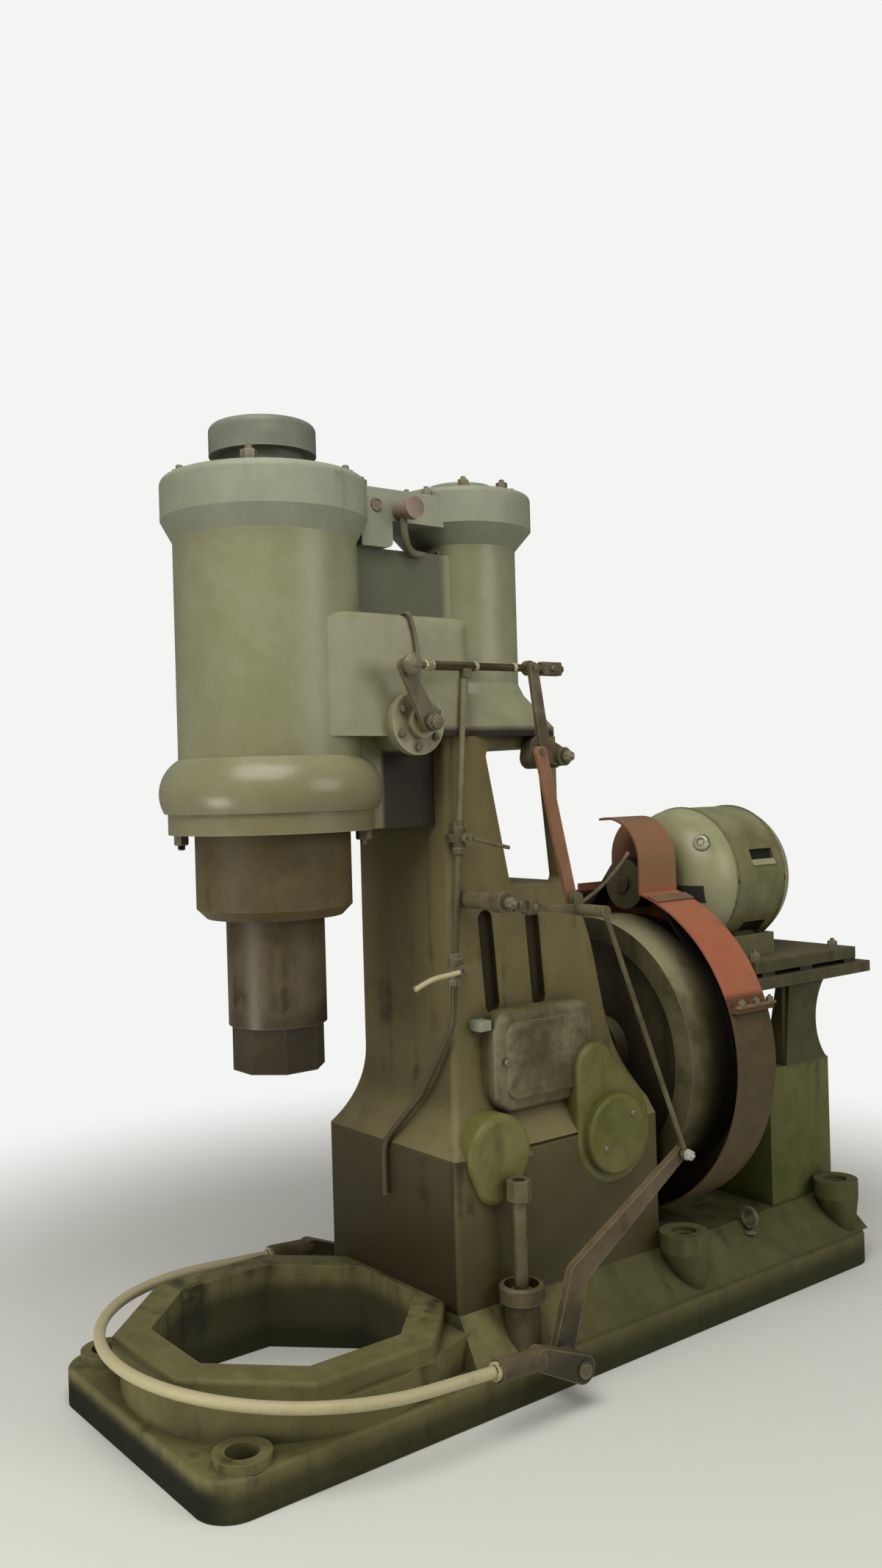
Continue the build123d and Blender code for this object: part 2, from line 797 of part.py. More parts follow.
# Motor: ribless drum, two domed end bells and its feet
motor_axis = Axis((0, 0, motor_z), (0, 1, 0))
with BuildPart() as motor_frame:
    with BuildSketch(front_plane(motor_seam_y)):
        with Locations((0, motor_z)):
            Circle(motor_r)
    extrude(amount=motor_rear_seam_y - motor_seam_y)
    foot_top = motor_z - motor_r * 0.8
    with BuildSketch(height_plane(motor_seat_z)):
        for side in (-1, 1):
            with Locations((side * motor_foot_x, (motor_seam_y + motor_rear_seam_y) / 2)):
                Rectangle(motor_foot_width, motor_rear_seam_y - motor_seam_y)
    extrude(amount=foot_top - motor_seat_z)
    for side, (slope, vent_height) in (
        (1, upper_vent), (-1, upper_vent), (1, lower_vent), (-1, lower_vent)
    ):
        angle = slope if side > 0 else 180 - slope
        vent_plane = Plane(
            origin=(
                motor_r * cos(radians(angle)),
                (motor_seam_y + motor_rear_seam_y) / 2 + 20,
                motor_z + motor_r * sin(radians(angle)),
            ),
            x_dir=(0, 1, 0),
            z_dir=(cos(radians(angle)), 0, sin(radians(angle))),
        )
        with BuildSketch(vent_plane):
            RectangleRounded(vent_length, vent_height, 4)
        extrude(amount=-vent_depth, both=True, mode=Mode.SUBTRACT)
motor_frame.part.label = "motor_frame"
export_step(motor_frame.part, "parts/motor_frame.step")


def end_bell(seam_y, end_y):
    """A domed end bell with a bore for the shaft."""
    reach = end_y - seam_y
    with BuildPart(mode=Mode.PRIVATE) as bell:
        with BuildSketch(Plane.YZ):
            with BuildLine():
                ThreePointArc(
                    (seam_y, motor_z + motor_r),
                    (seam_y + reach * 0.66, motor_z + motor_r * 0.86),
                    (end_y, motor_z + motor_r * 0.5),
                )
                Polyline(
                    (end_y, motor_z + motor_r * 0.5),
                    (end_y, motor_z + motor_shaft_r + 3),
                    (seam_y, motor_z + motor_shaft_r + 3),
                    (seam_y, motor_z + motor_r),
                )
            make_face()
        revolve(axis=motor_axis)
    return bell.part


with BuildPart() as motor_end_bells:
    add(end_bell(motor_seam_y, motor_front_y))
    add(end_bell(motor_rear_seam_y, motor_rear_y))
motor_end_bells.part.label = "motor_end_bells"
export_step(motor_end_bells.part, "parts/motor_end_bells.step")


def link_outline(*stations):
    """A lever or link in a sketch: a row of round eyes (y, z, radius) joined by tangent sides."""
    for start, end in zip(stations, stations[1:]):
        with BuildSketch(mode=Mode.PRIVATE) as pair:
            for y, z, r in (start, end):
                with Locations((y, z)):
                    Circle(r)
        add(make_hull(pair.sketch.edges(), mode=Mode.PRIVATE))


def round_bar(start, end, r):
    """A round bar between two points."""
    run = Vector(*end) - Vector(*start)
    with BuildPart(mode=Mode.PRIVATE) as bar:
        with BuildSketch(Plane(origin=start, z_dir=run)):
            Circle(r)
        extrude(amount=run.length)
    return bar.part


# Treadle: axle through the base, the bar bent round the anvil ring, and its two levers
treadle_hub_inner_x = base_width / 2 + 6
treadle_socket_half = 20
treadle_hub_outer_x = treadle_half_width + treadle_socket_half
with BuildPart() as treadle_axle:
    with BuildSketch(side_plane(-treadle_hub_outer_x - 8)):
        with Locations((treadle_pivot_y, treadle_pivot_z)):
            Circle(treadle_axle_r)
    extrude(amount=2 * (treadle_hub_outer_x + 8))
treadle_axle.part.label = "treadle_axle"
export_step(treadle_axle.part, "parts/treadle_axle.step")

tilt = radians(treadle_tilt)
treadle_plane = Plane(
    origin=(0, treadle_bar_end_y, treadle_bar_z), x_dir=(1, 0, 0), z_dir=(0, sin(tilt), cos(tilt))
)
treadle_reach = (treadle_bar_end_y - treadle_front_y) / cos(tilt)
treadle_straight = treadle_reach - treadle_half_width
with BuildPart() as treadle_bar:
    with BuildLine(treadle_plane) as treadle_path:
        Line((treadle_half_width, 0), (treadle_half_width, -treadle_straight))
        ThreePointArc(
            (treadle_half_width, -treadle_straight),
            (0, -treadle_reach),
            (-treadle_half_width, -treadle_straight),
        )
        Line((-treadle_half_width, -treadle_straight), (-treadle_half_width, 0))
    with BuildSketch(Plane(origin=treadle_path.line @ 0, z_dir=treadle_path.line % 0)):
        Circle(treadle_bar_r)
    sweep()
treadle_bar.part.label = "treadle_bar"
export_step(treadle_bar.part, "parts/treadle_bar.step")


def treadle_socket(side):
    """The hub on the axle and the tube that holds one end of the bar."""
    with BuildPart(mode=Mode.PRIVATE) as socket:
        with BuildSketch(side_plane(treadle_hub_inner_x if side > 0 else -treadle_hub_outer_x)):
            with Locations((treadle_pivot_y, treadle_pivot_z)):
                Circle(treadle_hub_r)
        extrude(amount=treadle_hub_outer_x - treadle_hub_inner_x)
        with BuildSketch(side_plane(side * treadle_half_width - treadle_socket_half)):
            link_outline(
                (treadle_pivot_y, treadle_pivot_z, treadle_hub_r),
                (treadle_bar_end_y + 90, treadle_bar_z - 90 * tan(tilt), treadle_socket_r),
            )
        extrude(amount=2 * treadle_socket_half)
        tube_x = side * treadle_half_width
        tube_mouth = (tube_x, treadle_bar_end_y - 40, treadle_bar_z + 40 * tan(tilt))
        tube_foot = (tube_x, treadle_bar_end_y + 90, treadle_bar_z - 90 * tan(tilt))
        add(round_bar(tube_foot, tube_mouth, treadle_socket_r))
        with BuildSketch(side_plane(-treadle_hub_outer_x)):
            with Locations((treadle_pivot_y, treadle_pivot_z)):
                Circle(treadle_axle_r + pin_clearance)
        extrude(amount=2 * treadle_hub_outer_x, mode=Mode.SUBTRACT)
        add(treadle_bar.part, mode=Mode.SUBTRACT)
    return socket.part


rod_pin_r = 7
rod_x = lever_x + lever_thickness + 4
knee = (-152, 288)
knee_r = 30
lever_tip_r = 16
rod_eye_r = 15
pin_head = 6
rod_nut_height = 10
with BuildPart() as treadle_lever:
    with BuildSketch(side_plane(lever_x)):
        link_outline(
            (treadle_pivot_y, treadle_pivot_z, treadle_hub_r),
            (*knee, knee_r),
            (lever_pin_y, lever_pin_z, lever_tip_r),
        )
    extrude(amount=lever_thickness)
    with BuildSketch(side_plane(lever_x)):
        with Locations((treadle_pivot_y, treadle_pivot_z)):
            Circle(treadle_axle_r + pin_clearance)
        with Locations((lever_pin_y, lever_pin_z)):
            Circle(rod_pin_r + pin_clearance)
    extrude(amount=lever_thickness, mode=Mode.SUBTRACT)
    add(treadle_socket(1))
treadle_lever.part.label = "treadle_lever"
export_step(treadle_lever.part, "parts/treadle_lever.step")

with BuildPart() as treadle_far_arm:
    add(treadle_socket(-1))
treadle_far_arm.part.label = "treadle_far_arm"
export_step(treadle_far_arm.part, "parts/treadle_far_arm.step")

# Link rod from the treadle lever up to the rocker
rod_middle_x = rod_x + rod_eye_thickness / 2
with BuildPart() as link_rod:
    for y, z in ((lever_pin_y, lever_pin_z), (rod_pin_y, rod_pin_z)):
        with BuildSketch(side_plane(rod_x)):
            with Locations((y, z)):
                Circle(rod_eye_r)
        extrude(amount=rod_eye_thickness)
    rod_foot = (rod_middle_x, lever_pin_y, lever_pin_z)
    add(round_bar(rod_foot, (rod_middle_x, rod_pin_y, rod_pin_z), rod_r * 0.85))
    with BuildSketch(side_plane(lever_x - pin_head)):
        with Locations((lever_pin_y, lever_pin_z)):
            Circle(rod_pin_r)
    extrude(amount=rod_x - lever_x + rod_eye_thickness + pin_head + rod_nut_height)
link_rod.part.label = "link_rod"
export_step(link_rod.part, "parts/link_rod.step")

# Rocker on its bracket at the column's side
rocker_hub_r = 26
rocker_hub_proud = 12
rocker_hull_r = 24
rocker_boss_r = 22
strap_half = 9
rocker_stub_r = 12
link_pin_r = 7
link_slack = 1.6
handle_r = 5
hub_clear = 20
rocker_front_tip = (-232, 1196, 16)
rocker_strap_middle = (-150, 1178, strap_half)
handle_bend = (90, 1252)
handle_end = (149, 1304)
with BuildPart() as rocker:
    with BuildSketch(side_plane(rocker_x - rocker_hub_proud + seat_gap)):
        with Locations((rocker_y, rocker_z)):
            Circle(rocker_hub_r)
    extrude(amount=rocker_thickness + 2 * rocker_hub_proud)
    with BuildSketch(side_plane(rocker_x)):
        link_outline((rocker_y, rocker_z, rocker_hull_r), rocker_front_tip, rocker_strap_middle,
                     (rod_pin_y, rod_pin_z, rod_eye_r))
        link_outline((rod_pin_y, rod_pin_z, rod_eye_r), (*link_foot, rod_eye_r))
    extrude(amount=rocker_thickness)
    with BuildSketch(side_plane(valve_link_x - 2)):
        with Locations(link_foot):
            Circle(link_pin_r)
    extrude(amount=rocker_x - valve_link_x + 2)
    with BuildSketch(side_plane(rocker_x)):
        with Locations((rod_pin_y, rod_pin_z)):
            Circle(rod_eye_r)
    extrude(amount=rod_x - seat_gap - rocker_x)
    with BuildLine() as handle_path:
        Spline(
            (rocker_x + rocker_thickness / 2, rod_pin_y, rod_pin_z + 10),
            (rocker_x + rocker_thickness / 2, *handle_bend),
            (rocker_x + rocker_thickness / 2, *handle_end),
        )
    with BuildSketch(Plane(origin=handle_path.line @ 0, z_dir=handle_path.line % 0)):
        Circle(handle_r)
    sweep()
    with BuildSketch(side_plane(rocker_x - hub_clear)):
        with Locations((rocker_y, rocker_z)):
            Circle(rocker_stub_r + pin_clearance)
    extrude(amount=rocker_thickness + 3 * hub_clear, mode=Mode.SUBTRACT)
rocker.part.label = "rocker"
export_step(rocker.part, "parts/rocker.step")

# Rear valve shaft, its bearing and the crank that joins the rocker to the tie rod
valve_stub_r = 11
valve_bearing_r = 29
valve_hub_proud = 14
valve_hub_r = 24
stub_proud = 26
bearing_web_r = 22
bearing_web_depth = 40
with BuildPart() as linkage_bearings:
    for y, z, r, face_x, stub_r, stub_x in (
        (
            rocker_y,
            rocker_z,
            rocker_boss_r,
            rocker_x - rocker_hub_proud,
            rocker_stub_r,
            rocker_x + rocker_thickness + stub_proud,
        ),
        (
            valve_shaft_y,
            valve_shaft_z,
            valve_bearing_r,
            valve_lever_x - valve_hub_proud,
            valve_stub_r,
            valve_lever_x + valve_lever_thickness + stub_proud - 2,
        ),
    ):
        for radius, end_x in ((r, face_x), (stub_r, stub_x)):
            with BuildSketch(side_plane(column_half_width)):
                with Locations((y, z)):
                    Circle(radius)
            extrude(amount=end_x - column_half_width)
    with BuildSketch(side_plane(column_half_width)):
        link_outline(
            (valve_shaft_y, valve_shaft_z, valve_bearing_r),
            (valve_shaft_y, column_top_z - bearing_web_r - 1, bearing_web_r),
        )
    extrude(amount=bearing_web_depth)
linkage_bearings.part.label = "linkage_bearings"
export_step(linkage_bearings.part, "parts/linkage_bearings.step")

crank_top_r = 16
crank_knee_r = 17
tie_end_r = 14
tie_pin_r = 6
link_eye_r = 17
with BuildPart() as valve_crank:
    with BuildSketch(side_plane(valve_lever_x - valve_hub_proud + seat_gap)):
        with Locations((valve_shaft_y, valve_shaft_z)):
            Circle(valve_hub_r)
    extrude(amount=valve_lever_thickness + 2 * valve_hub_proud - 2)
    with BuildSketch(side_plane(valve_lever_x)):
        link_outline((valve_shaft_y, valve_shaft_z, valve_hub_r), (*link_top, crank_top_r))
        link_outline(
            (valve_shaft_y, valve_shaft_z, valve_hub_r),
            (*crank_knee, crank_knee_r),
            (tie_pin_y, tie_rod_z, tie_end_r),
        )
    extrude(amount=valve_lever_thickness)
    with BuildSketch(side_plane(valve_lever_x)):
        with Locations(link_top):
            Circle(link_pin_r)
    extrude(amount=valve_link_x + valve_link_thickness + pin_head / 2 - valve_lever_x)
    with BuildSketch(side_plane(valve_lever_x - hub_clear)):
        with Locations((valve_shaft_y, valve_shaft_z)):
            Circle(valve_stub_r + pin_clearance)
    extrude(amount=valve_lever_thickness + 3 * hub_clear, mode=Mode.SUBTRACT)
    with BuildSketch(side_plane(valve_lever_x)):
        with Locations((tie_pin_y, tie_rod_z)):
            Circle(tie_pin_r + pin_clearance)
    extrude(amount=valve_lever_thickness, mode=Mode.SUBTRACT)
valve_crank.part.label = "valve_crank"
export_step(valve_crank.part, "parts/valve_crank.step")

with BuildPart() as valve_link:
    with BuildSketch(side_plane(valve_link_x)):
        link_outline((*link_foot, link_eye_r), (*link_top, link_eye_r))
        with Locations(link_foot):
            Circle(link_pin_r + pin_clearance, mode=Mode.SUBTRACT)
        with Locations(link_top):
            Circle(link_pin_r + link_slack, mode=Mode.SUBTRACT)
    extrude(amount=valve_link_thickness)
valve_link.part.label = "valve_link"
export_step(valve_link.part, "parts/valve_link.step")

# Tie rod between the two valves
tie_eye_thickness = 16
tie_eye_r = 19
tie_bar_r = 7.5
tie_grip_r = 9.5
tie_grip_start = 15
tie_grip_end = 115
tie_x = valve_lever_x - 2 - tie_eye_thickness
with BuildPart() as tie_rod:
    for y, z in ((tie_pin_y, tie_rod_z), front_eye):
        with BuildSketch(side_plane(tie_x)):
            with Locations((y, z)):
                Circle(tie_eye_r)
        extrude(amount=tie_eye_thickness)
    tie_middle_x = tie_x + tie_eye_thickness / 2
    grip_start = (tie_middle_x, tie_pin_y + tie_grip_start, tie_rod_z)
    grip_end = (tie_middle_x, tie_pin_y + tie_grip_end, tie_rod_z)
    add(round_bar((tie_middle_x, *front_eye), grip_start, tie_bar_r))
    add(round_bar(grip_start, grip_end, tie_grip_r))
    with BuildSketch(side_plane(tie_x)):
        with Locations((tie_pin_y, tie_rod_z)):
            Circle(tie_pin_r)
    extrude(amount=tie_eye_thickness + 2 + valve_lever_thickness + pin_head)
tie_rod.part.label = "tie_rod"
export_step(tie_rod.part, "parts/tie_rod.step")

# Front valve: bolted cover with its spindle, and the lever on the spindle
valve_cover_thickness = 26
valve_gland_r = 36
valve_gland_height = 22
valve_spindle_r = 11
with BuildPart() as front_valve_cover:
    with BuildSketch(side_plane(bridge_half_width)):
        with Locations((front_valve_y, front_valve_z)):
            Circle(front_valve_r)
    extrude(amount=valve_cover_thickness)
    with BuildSketch(side_plane(bridge_half_width)):
        with Locations((front_valve_y, front_valve_z)):
            Circle(valve_gland_r)
    extrude(amount=valve_cover_thickness + valve_gland_height)
    with BuildSketch(side_plane(bridge_half_width)):
        with Locations((front_valve_y, front_valve_z)):
            Circle(valve_spindle_r)
    extrude(amount=tie_x - 4 - bridge_half_width)
front_valve_cover.part.label = "front_valve_cover"
export_step(front_valve_cover.part, "parts/front_valve_cover.step")

front_lever_thickness = 14
front_hub_r = 22
front_hull_r = 24
front_lever_x = tie_x - seat_gap - front_lever_thickness
front_hub_x = bridge_half_width + valve_cover_thickness + valve_gland_height + seat_gap
with BuildPart() as front_valve_lever:
    with BuildSketch(side_plane(front_hub_x)):
        with Locations((front_valve_y, front_valve_z)):
            Circle(front_hub_r)
    extrude(amount=front_lever_x + front_lever_thickness - front_hub_x)
    with BuildSketch(side_plane(front_lever_x)):
        link_outline((front_valve_y, front_valve_z, front_hull_r), (*front_eye, link_eye_r))
    extrude(amount=front_lever_thickness)
    with BuildSketch(side_plane(front_hub_x)):
        with Locations((front_valve_y, front_valve_z)):
            Circle(valve_spindle_r + pin_clearance)
    extrude(amount=front_lever_x + front_lever_thickness - front_hub_x, mode=Mode.SUBTRACT)
front_valve_lever.part.label = "front_valve_lever"
export_step(front_valve_lever.part, "parts/front_valve_lever.step")

# Pipe down the column's corner, its two cocks and their handles
pipe_r = 8
pipe_x = column_half_width + 30
pipe_y = column_front_y - 23
pipe_lean = 0.075
upper_cock_z = 1364
lower_cock_z = 1037
cock_r = 17
cock_half_height = 26
cock_boss_r = 10
cock_boss_reach = 26
cock_stem_r = 5
cock_stem_reach = 44
pipe_bend_r = 80
pipe_foot_drop = 135
pipe_front_gap = 12
clip_width = 30
clip_length = 44
clip_height = 20
pipe_top_z = bridge_top_z - 150
pipe_bend_z = flare_top_z + 110


def pipe_place(z):
    """How far back the leaning pipe stands at a height."""
    return pipe_y + pipe_lean * (z - pipe_bend_z)


with BuildPart() as drain_pipe:
    with BuildLine() as pipe_path:
        FilletPolyline(
            (pipe_x, pipe_place(pipe_top_z), pipe_top_z),
            (pipe_x, pipe_y, pipe_bend_z),
            (column_half_width * 0.55, pipe_y - 13, flare_top_z - pipe_bend_r),
            (0, pedestal_front_y - pipe_front_gap, pedestal_top_z),
            (0, pedestal_front_y - pipe_front_gap, pedestal_top_z - pipe_foot_drop),
            radius=pipe_bend_r,
        )
    with BuildSketch(Plane(origin=pipe_path.line @ 0, z_dir=pipe_path.line % 0)):
        Circle(pipe_r)
    sweep()
drain_pipe.part.label = "drain_pipe"
export_step(drain_pipe.part, "parts/drain_pipe.step")

with BuildPart() as pipe_cocks:
    for z in (upper_cock_z, lower_cock_z):
        with BuildSketch(height_plane(z - cock_half_height)):
            with Locations((pipe_x, pipe_place(z))):
                Circle(cock_r)
        extrude(amount=2 * cock_half_height)
        with BuildSketch(side_plane(pipe_x)):
            with Locations((pipe_place(z), z)):
                Circle(cock_boss_r)
        extrude(amount=cock_boss_reach)
        with BuildSketch(side_plane(pipe_x)):
            with Locations((pipe_place(z), z)):
                Circle(cock_stem_r)
        extrude(amount=cock_stem_reach)
        with BuildSketch(height_plane(z - clip_height / 2)):
            with Locations((column_half_width + clip_width / 2, column_front_y + 12)):
                Rectangle(clip_width, clip_length)
        extrude(amount=clip_height)
    add(drain_pipe.part, mode=Mode.SUBTRACT)
pipe_cocks.part.label = "pipe_cocks"
export_step(pipe_cocks.part, "parts/pipe_cocks.step")

handle_x = pipe_x + cock_boss_reach + seat_gap
hand_lever_eye_r = 13
hand_lever_eye_width = 12
hand_lever_width = 8
cock_handle_eye_r = 12
cock_handle_eye_width = 10
cock_handle_width = 6
with BuildPart() as hand_lever:
    with BuildSketch(side_plane(handle_x)):
        with Locations((pipe_place(lower_cock_z), lower_cock_z)):
            Circle(hand_lever_eye_r)
            Circle(cock_stem_r + pin_clearance, mode=Mode.SUBTRACT)
    extrude(amount=hand_lever_eye_width)
    with BuildSketch(side_plane(handle_x + 2)):
        lever_y = pipe_place(lower_cock_z)
        link_outline((lever_y - 16, lower_cock_z - 2, 6), (lever_y - 80, lower_cock_z - 8, 6),
                     (lever_y - 150, lower_cock_z - 26, 5))
    extrude(amount=hand_lever_width)
hand_lever.part.label = "hand_lever"
export_step(hand_lever.part, "parts/hand_lever.step")

with BuildPart() as cock_handle:
    with BuildSketch(side_plane(handle_x)):
        with Locations((pipe_place(upper_cock_z), upper_cock_z)):
            Circle(cock_handle_eye_r)
            Circle(cock_stem_r + pin_clearance, mode=Mode.SUBTRACT)
    extrude(amount=cock_handle_eye_width)
    with BuildSketch(side_plane(handle_x + 2)):
        cock_y = pipe_place(upper_cock_z)
        link_outline((cock_y + 15, upper_cock_z - 3, 4), (cock_y + 130, upper_cock_z - 30, 4))
    extrude(amount=cock_handle_width)
cock_handle.part.label = "cock_handle"
export_step(cock_handle.part, "parts/cock_handle.step")

# Covers on the column's side: inspection door, crankcase cover and the shield-shaped boss
door_low = (-238, 655)
door_high = (108, 914)
door_face_x = column_half_width + 56
door_middle = ((door_low[0] + door_high[0]) / 2, (door_low[1] + door_high[1]) / 2)
door_size = (door_high[0] - door_low[0], door_high[1] - door_low[1])
with BuildPart() as inspection_door:
    with BuildSketch(side_plane(column_half_width)):
        with Locations(door_middle):
            RectangleRounded(*door_size, 48)
    extrude(amount=door_face_x - column_half_width)
    fillet(inspection_door.faces().sort_by(Axis.X)[-1].edges(), 18)
    with BuildSketch(side_plane(door_face_x)):
        with Locations(door_middle):
            RectangleRounded(door_size[0] - 64, door_size[1] - 64, 34)
    extrude(amount=8)
    fillet(inspection_door.faces().sort_by(Axis.X)[-1].edges(), 7)
    add(frame_column.part, mode=Mode.SUBTRACT)
inspection_door.part.label = "inspection_door"
export_step(inspection_door.part, "parts/inspection_door.step")

cover_y = 138
cover_z = 552
cover_r = 106
cover_neck = (84, 735, 66)
cover_seat_x = pedestal_half_width + 5
with BuildPart() as crankcase_cover:
    with BuildSketch(side_plane(column_half_width)):
        link_outline((cover_y + 10, cover_z, cover_r + 30), cover_neck)
    extrude(amount=cover_seat_x - column_half_width)
    fillet(crankcase_cover.faces().sort_by(Axis.X)[-1].edges(), 12)
    with BuildSketch(side_plane(cover_seat_x)):
        with Locations((cover_y, cover_z)):
            Circle(cover_r)
    extrude(amount=25)
    fillet(crankcase_cover.faces().sort_by(Axis.X)[-1].edges(), 10)
    add(frame_column.part, mode=Mode.SUBTRACT)
    add(inspection_door.part, mode=Mode.SUBTRACT)
crankcase_cover.part.label = "crankcase_cover"
export_step(crankcase_cover.part, "parts/crankcase_cover.step")

with BuildPart() as shield_boss:
    with BuildSketch(side_plane(column_half_width)):
        link_outline((-266, 572, 100), (-284, 508, 58))
    extrude(amount=pedestal_half_width + 22 - column_half_width)
    fillet(shield_boss.faces().sort_by(Axis.X)[-1].edges(), 20)
    add(frame_column.part, mode=Mode.SUBTRACT)
    add(inspection_door.part, mode=Mode.SUBTRACT)
shield_boss.part.label = "shield_boss"
export_step(shield_boss.part, "parts/shield_boss.step")

# Oil cup beside the pedestal, with a pipe and its socket nut standing in it
cup_x = base_width / 2 - 66
cup_y = -250
oil_cup_r = 57
oil_cup_body_r = 44
oil_cup_top_z = 262
oil_cup_lip = 40
oil_cup_depth = 26
cup_start_z = treadle_pivot_z + treadle_axle_r + 3
with BuildPart() as oil_cup:
    with BuildSketch(height_plane(cup_start_z)):
        with Locations((cup_x, cup_y)):
            Circle(oil_cup_body_r)
    extrude(amount=oil_cup_top_z - cup_start_z)
    with BuildSketch(height_plane(oil_cup_top_z - oil_cup_lip)):
        with Locations((cup_x, cup_y)):
            Circle(oil_cup_r)
    extrude(amount=oil_cup_lip)
    chamfer(oil_cup.faces().sort_by(Axis.Z)[-1].edges(), 4)
    with BuildSketch(height_plane(oil_cup_top_z)):
        with Locations((cup_x, cup_y)):
            Circle(oil_cup_body_r)
    extrude(amount=-oil_cup_depth, mode=Mode.SUBTRACT)
    add(base_casting.part, mode=Mode.SUBTRACT)
oil_cup.part.label = "oil_cup"
export_step(oil_cup.part, "parts/oil_cup.step")

oil_pipe_r = 17
nut_z = 468
nut_height = 50
nut_r = 31
foot_height = 12
foot_r = 26
with BuildPart() as oil_pipe:
    pipe_floor_z = oil_cup_top_z - oil_cup_depth
    with BuildSketch(height_plane(pipe_floor_z)):
        with Locations((cup_x, cup_y)):
            Circle(oil_pipe_r)
    extrude(amount=nut_z - pipe_floor_z)
    with BuildSketch(height_plane(pipe_floor_z)):
        with Locations((cup_x, cup_y)):
            Circle(foot_r)
    extrude(amount=foot_height)
    with BuildSketch(height_plane(nut_z)):
        with Locations((cup_x, cup_y)):
            RegularPolygon(nut_r, 6)
    extrude(amount=nut_height)
    with BuildSketch(height_plane(nut_z + nut_height)):
        with Locations((cup_x, cup_y)):
            Circle(oil_pipe_r)
    extrude(amount=-nut_height / 2, mode=Mode.SUBTRACT)
oil_pipe.part.label = "oil_pipe"
export_step(oil_pipe.part, "parts/oil_pipe.step")

# Valve manifold between the two heads, with the small safety valve
manifold_x = 40
manifold_y = (ram_y + compressor_y) / 2 + 30
manifold_width = 150
manifold_length = 260
manifold_low_z = cylinder_top_z + 68
manifold_top_z = head_top_z - 7
manifold_leg_rear_y = -415
manifold_leg_round = 16
safety_y = manifold_y - 15
safety_z = cylinder_top_z + 92
safety_body_r = 20
safety_body_length = 50
safety_cap_r = 28
safety_cap_length = 22
with BuildPart() as valve_manifold:
    with BuildSketch(side_plane(manifold_x - manifold_width / 2)):
        manifold_front_y = manifold_y - manifold_length / 2
        with BuildLine():
            Polyline(
                (manifold_front_y, manifold_top_z),
                (manifold_front_y, cylinder_top_z),
                (manifold_leg_rear_y, cylinder_top_z),
                (manifold_leg_rear_y, manifold_low_z),
                (manifold_y + manifold_length / 2, manifold_low_z),
                (manifold_y + manifold_length / 2, manifold_top_z),
                close=True,
            )
        make_face()
        leg_corner = vertices().sort_by_distance((0, manifold_leg_rear_y, manifold_low_z))[0]
        fillet(leg_corner, manifold_leg_round)
    extrude(amount=manifold_width)
    add(ram_cylinder_head.part, mode=Mode.SUBTRACT)
    add(compressor_head.part, mode=Mode.SUBTRACT)
valve_manifold.part.label = "valve_manifold"
export_step(valve_manifold.part, "parts/valve_manifold.step")

safety_x = manifold_x + manifold_width / 2
with BuildPart() as safety_valve:
    for start_x, length, r in (
        (safety_x, safety_body_length, safety_body_r),
        (safety_x + safety_body_length, safety_cap_length, safety_cap_r),
    ):
        with BuildSketch(side_plane(start_x)):
            with Locations((safety_y, safety_z)):
                Circle(r)
        extrude(amount=length)
safety_valve.part.label = "safety_valve"
export_step(safety_valve.part, "parts/safety_valve.step")
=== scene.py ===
import bpy
from math import cos, radians, sin, sqrt
from mathutils import Matrix, Vector


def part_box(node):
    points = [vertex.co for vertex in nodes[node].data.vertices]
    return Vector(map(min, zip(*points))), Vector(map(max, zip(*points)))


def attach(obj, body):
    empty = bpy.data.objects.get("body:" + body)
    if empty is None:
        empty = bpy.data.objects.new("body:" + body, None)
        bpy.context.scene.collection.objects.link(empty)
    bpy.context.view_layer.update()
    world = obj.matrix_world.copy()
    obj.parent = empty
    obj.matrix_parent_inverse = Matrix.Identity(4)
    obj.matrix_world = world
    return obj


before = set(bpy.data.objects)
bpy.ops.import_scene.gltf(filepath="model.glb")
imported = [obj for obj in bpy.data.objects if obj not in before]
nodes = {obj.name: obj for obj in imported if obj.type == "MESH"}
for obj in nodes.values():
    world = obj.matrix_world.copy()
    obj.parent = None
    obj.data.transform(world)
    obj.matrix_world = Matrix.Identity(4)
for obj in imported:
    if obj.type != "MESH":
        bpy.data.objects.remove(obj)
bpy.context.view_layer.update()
bpy.ops.object.select_all(action="DESELECT")

# Workshop stage: a plain pale floor that keeps the machine's shadow, and a pale surround.
# It isn't part of the machine.


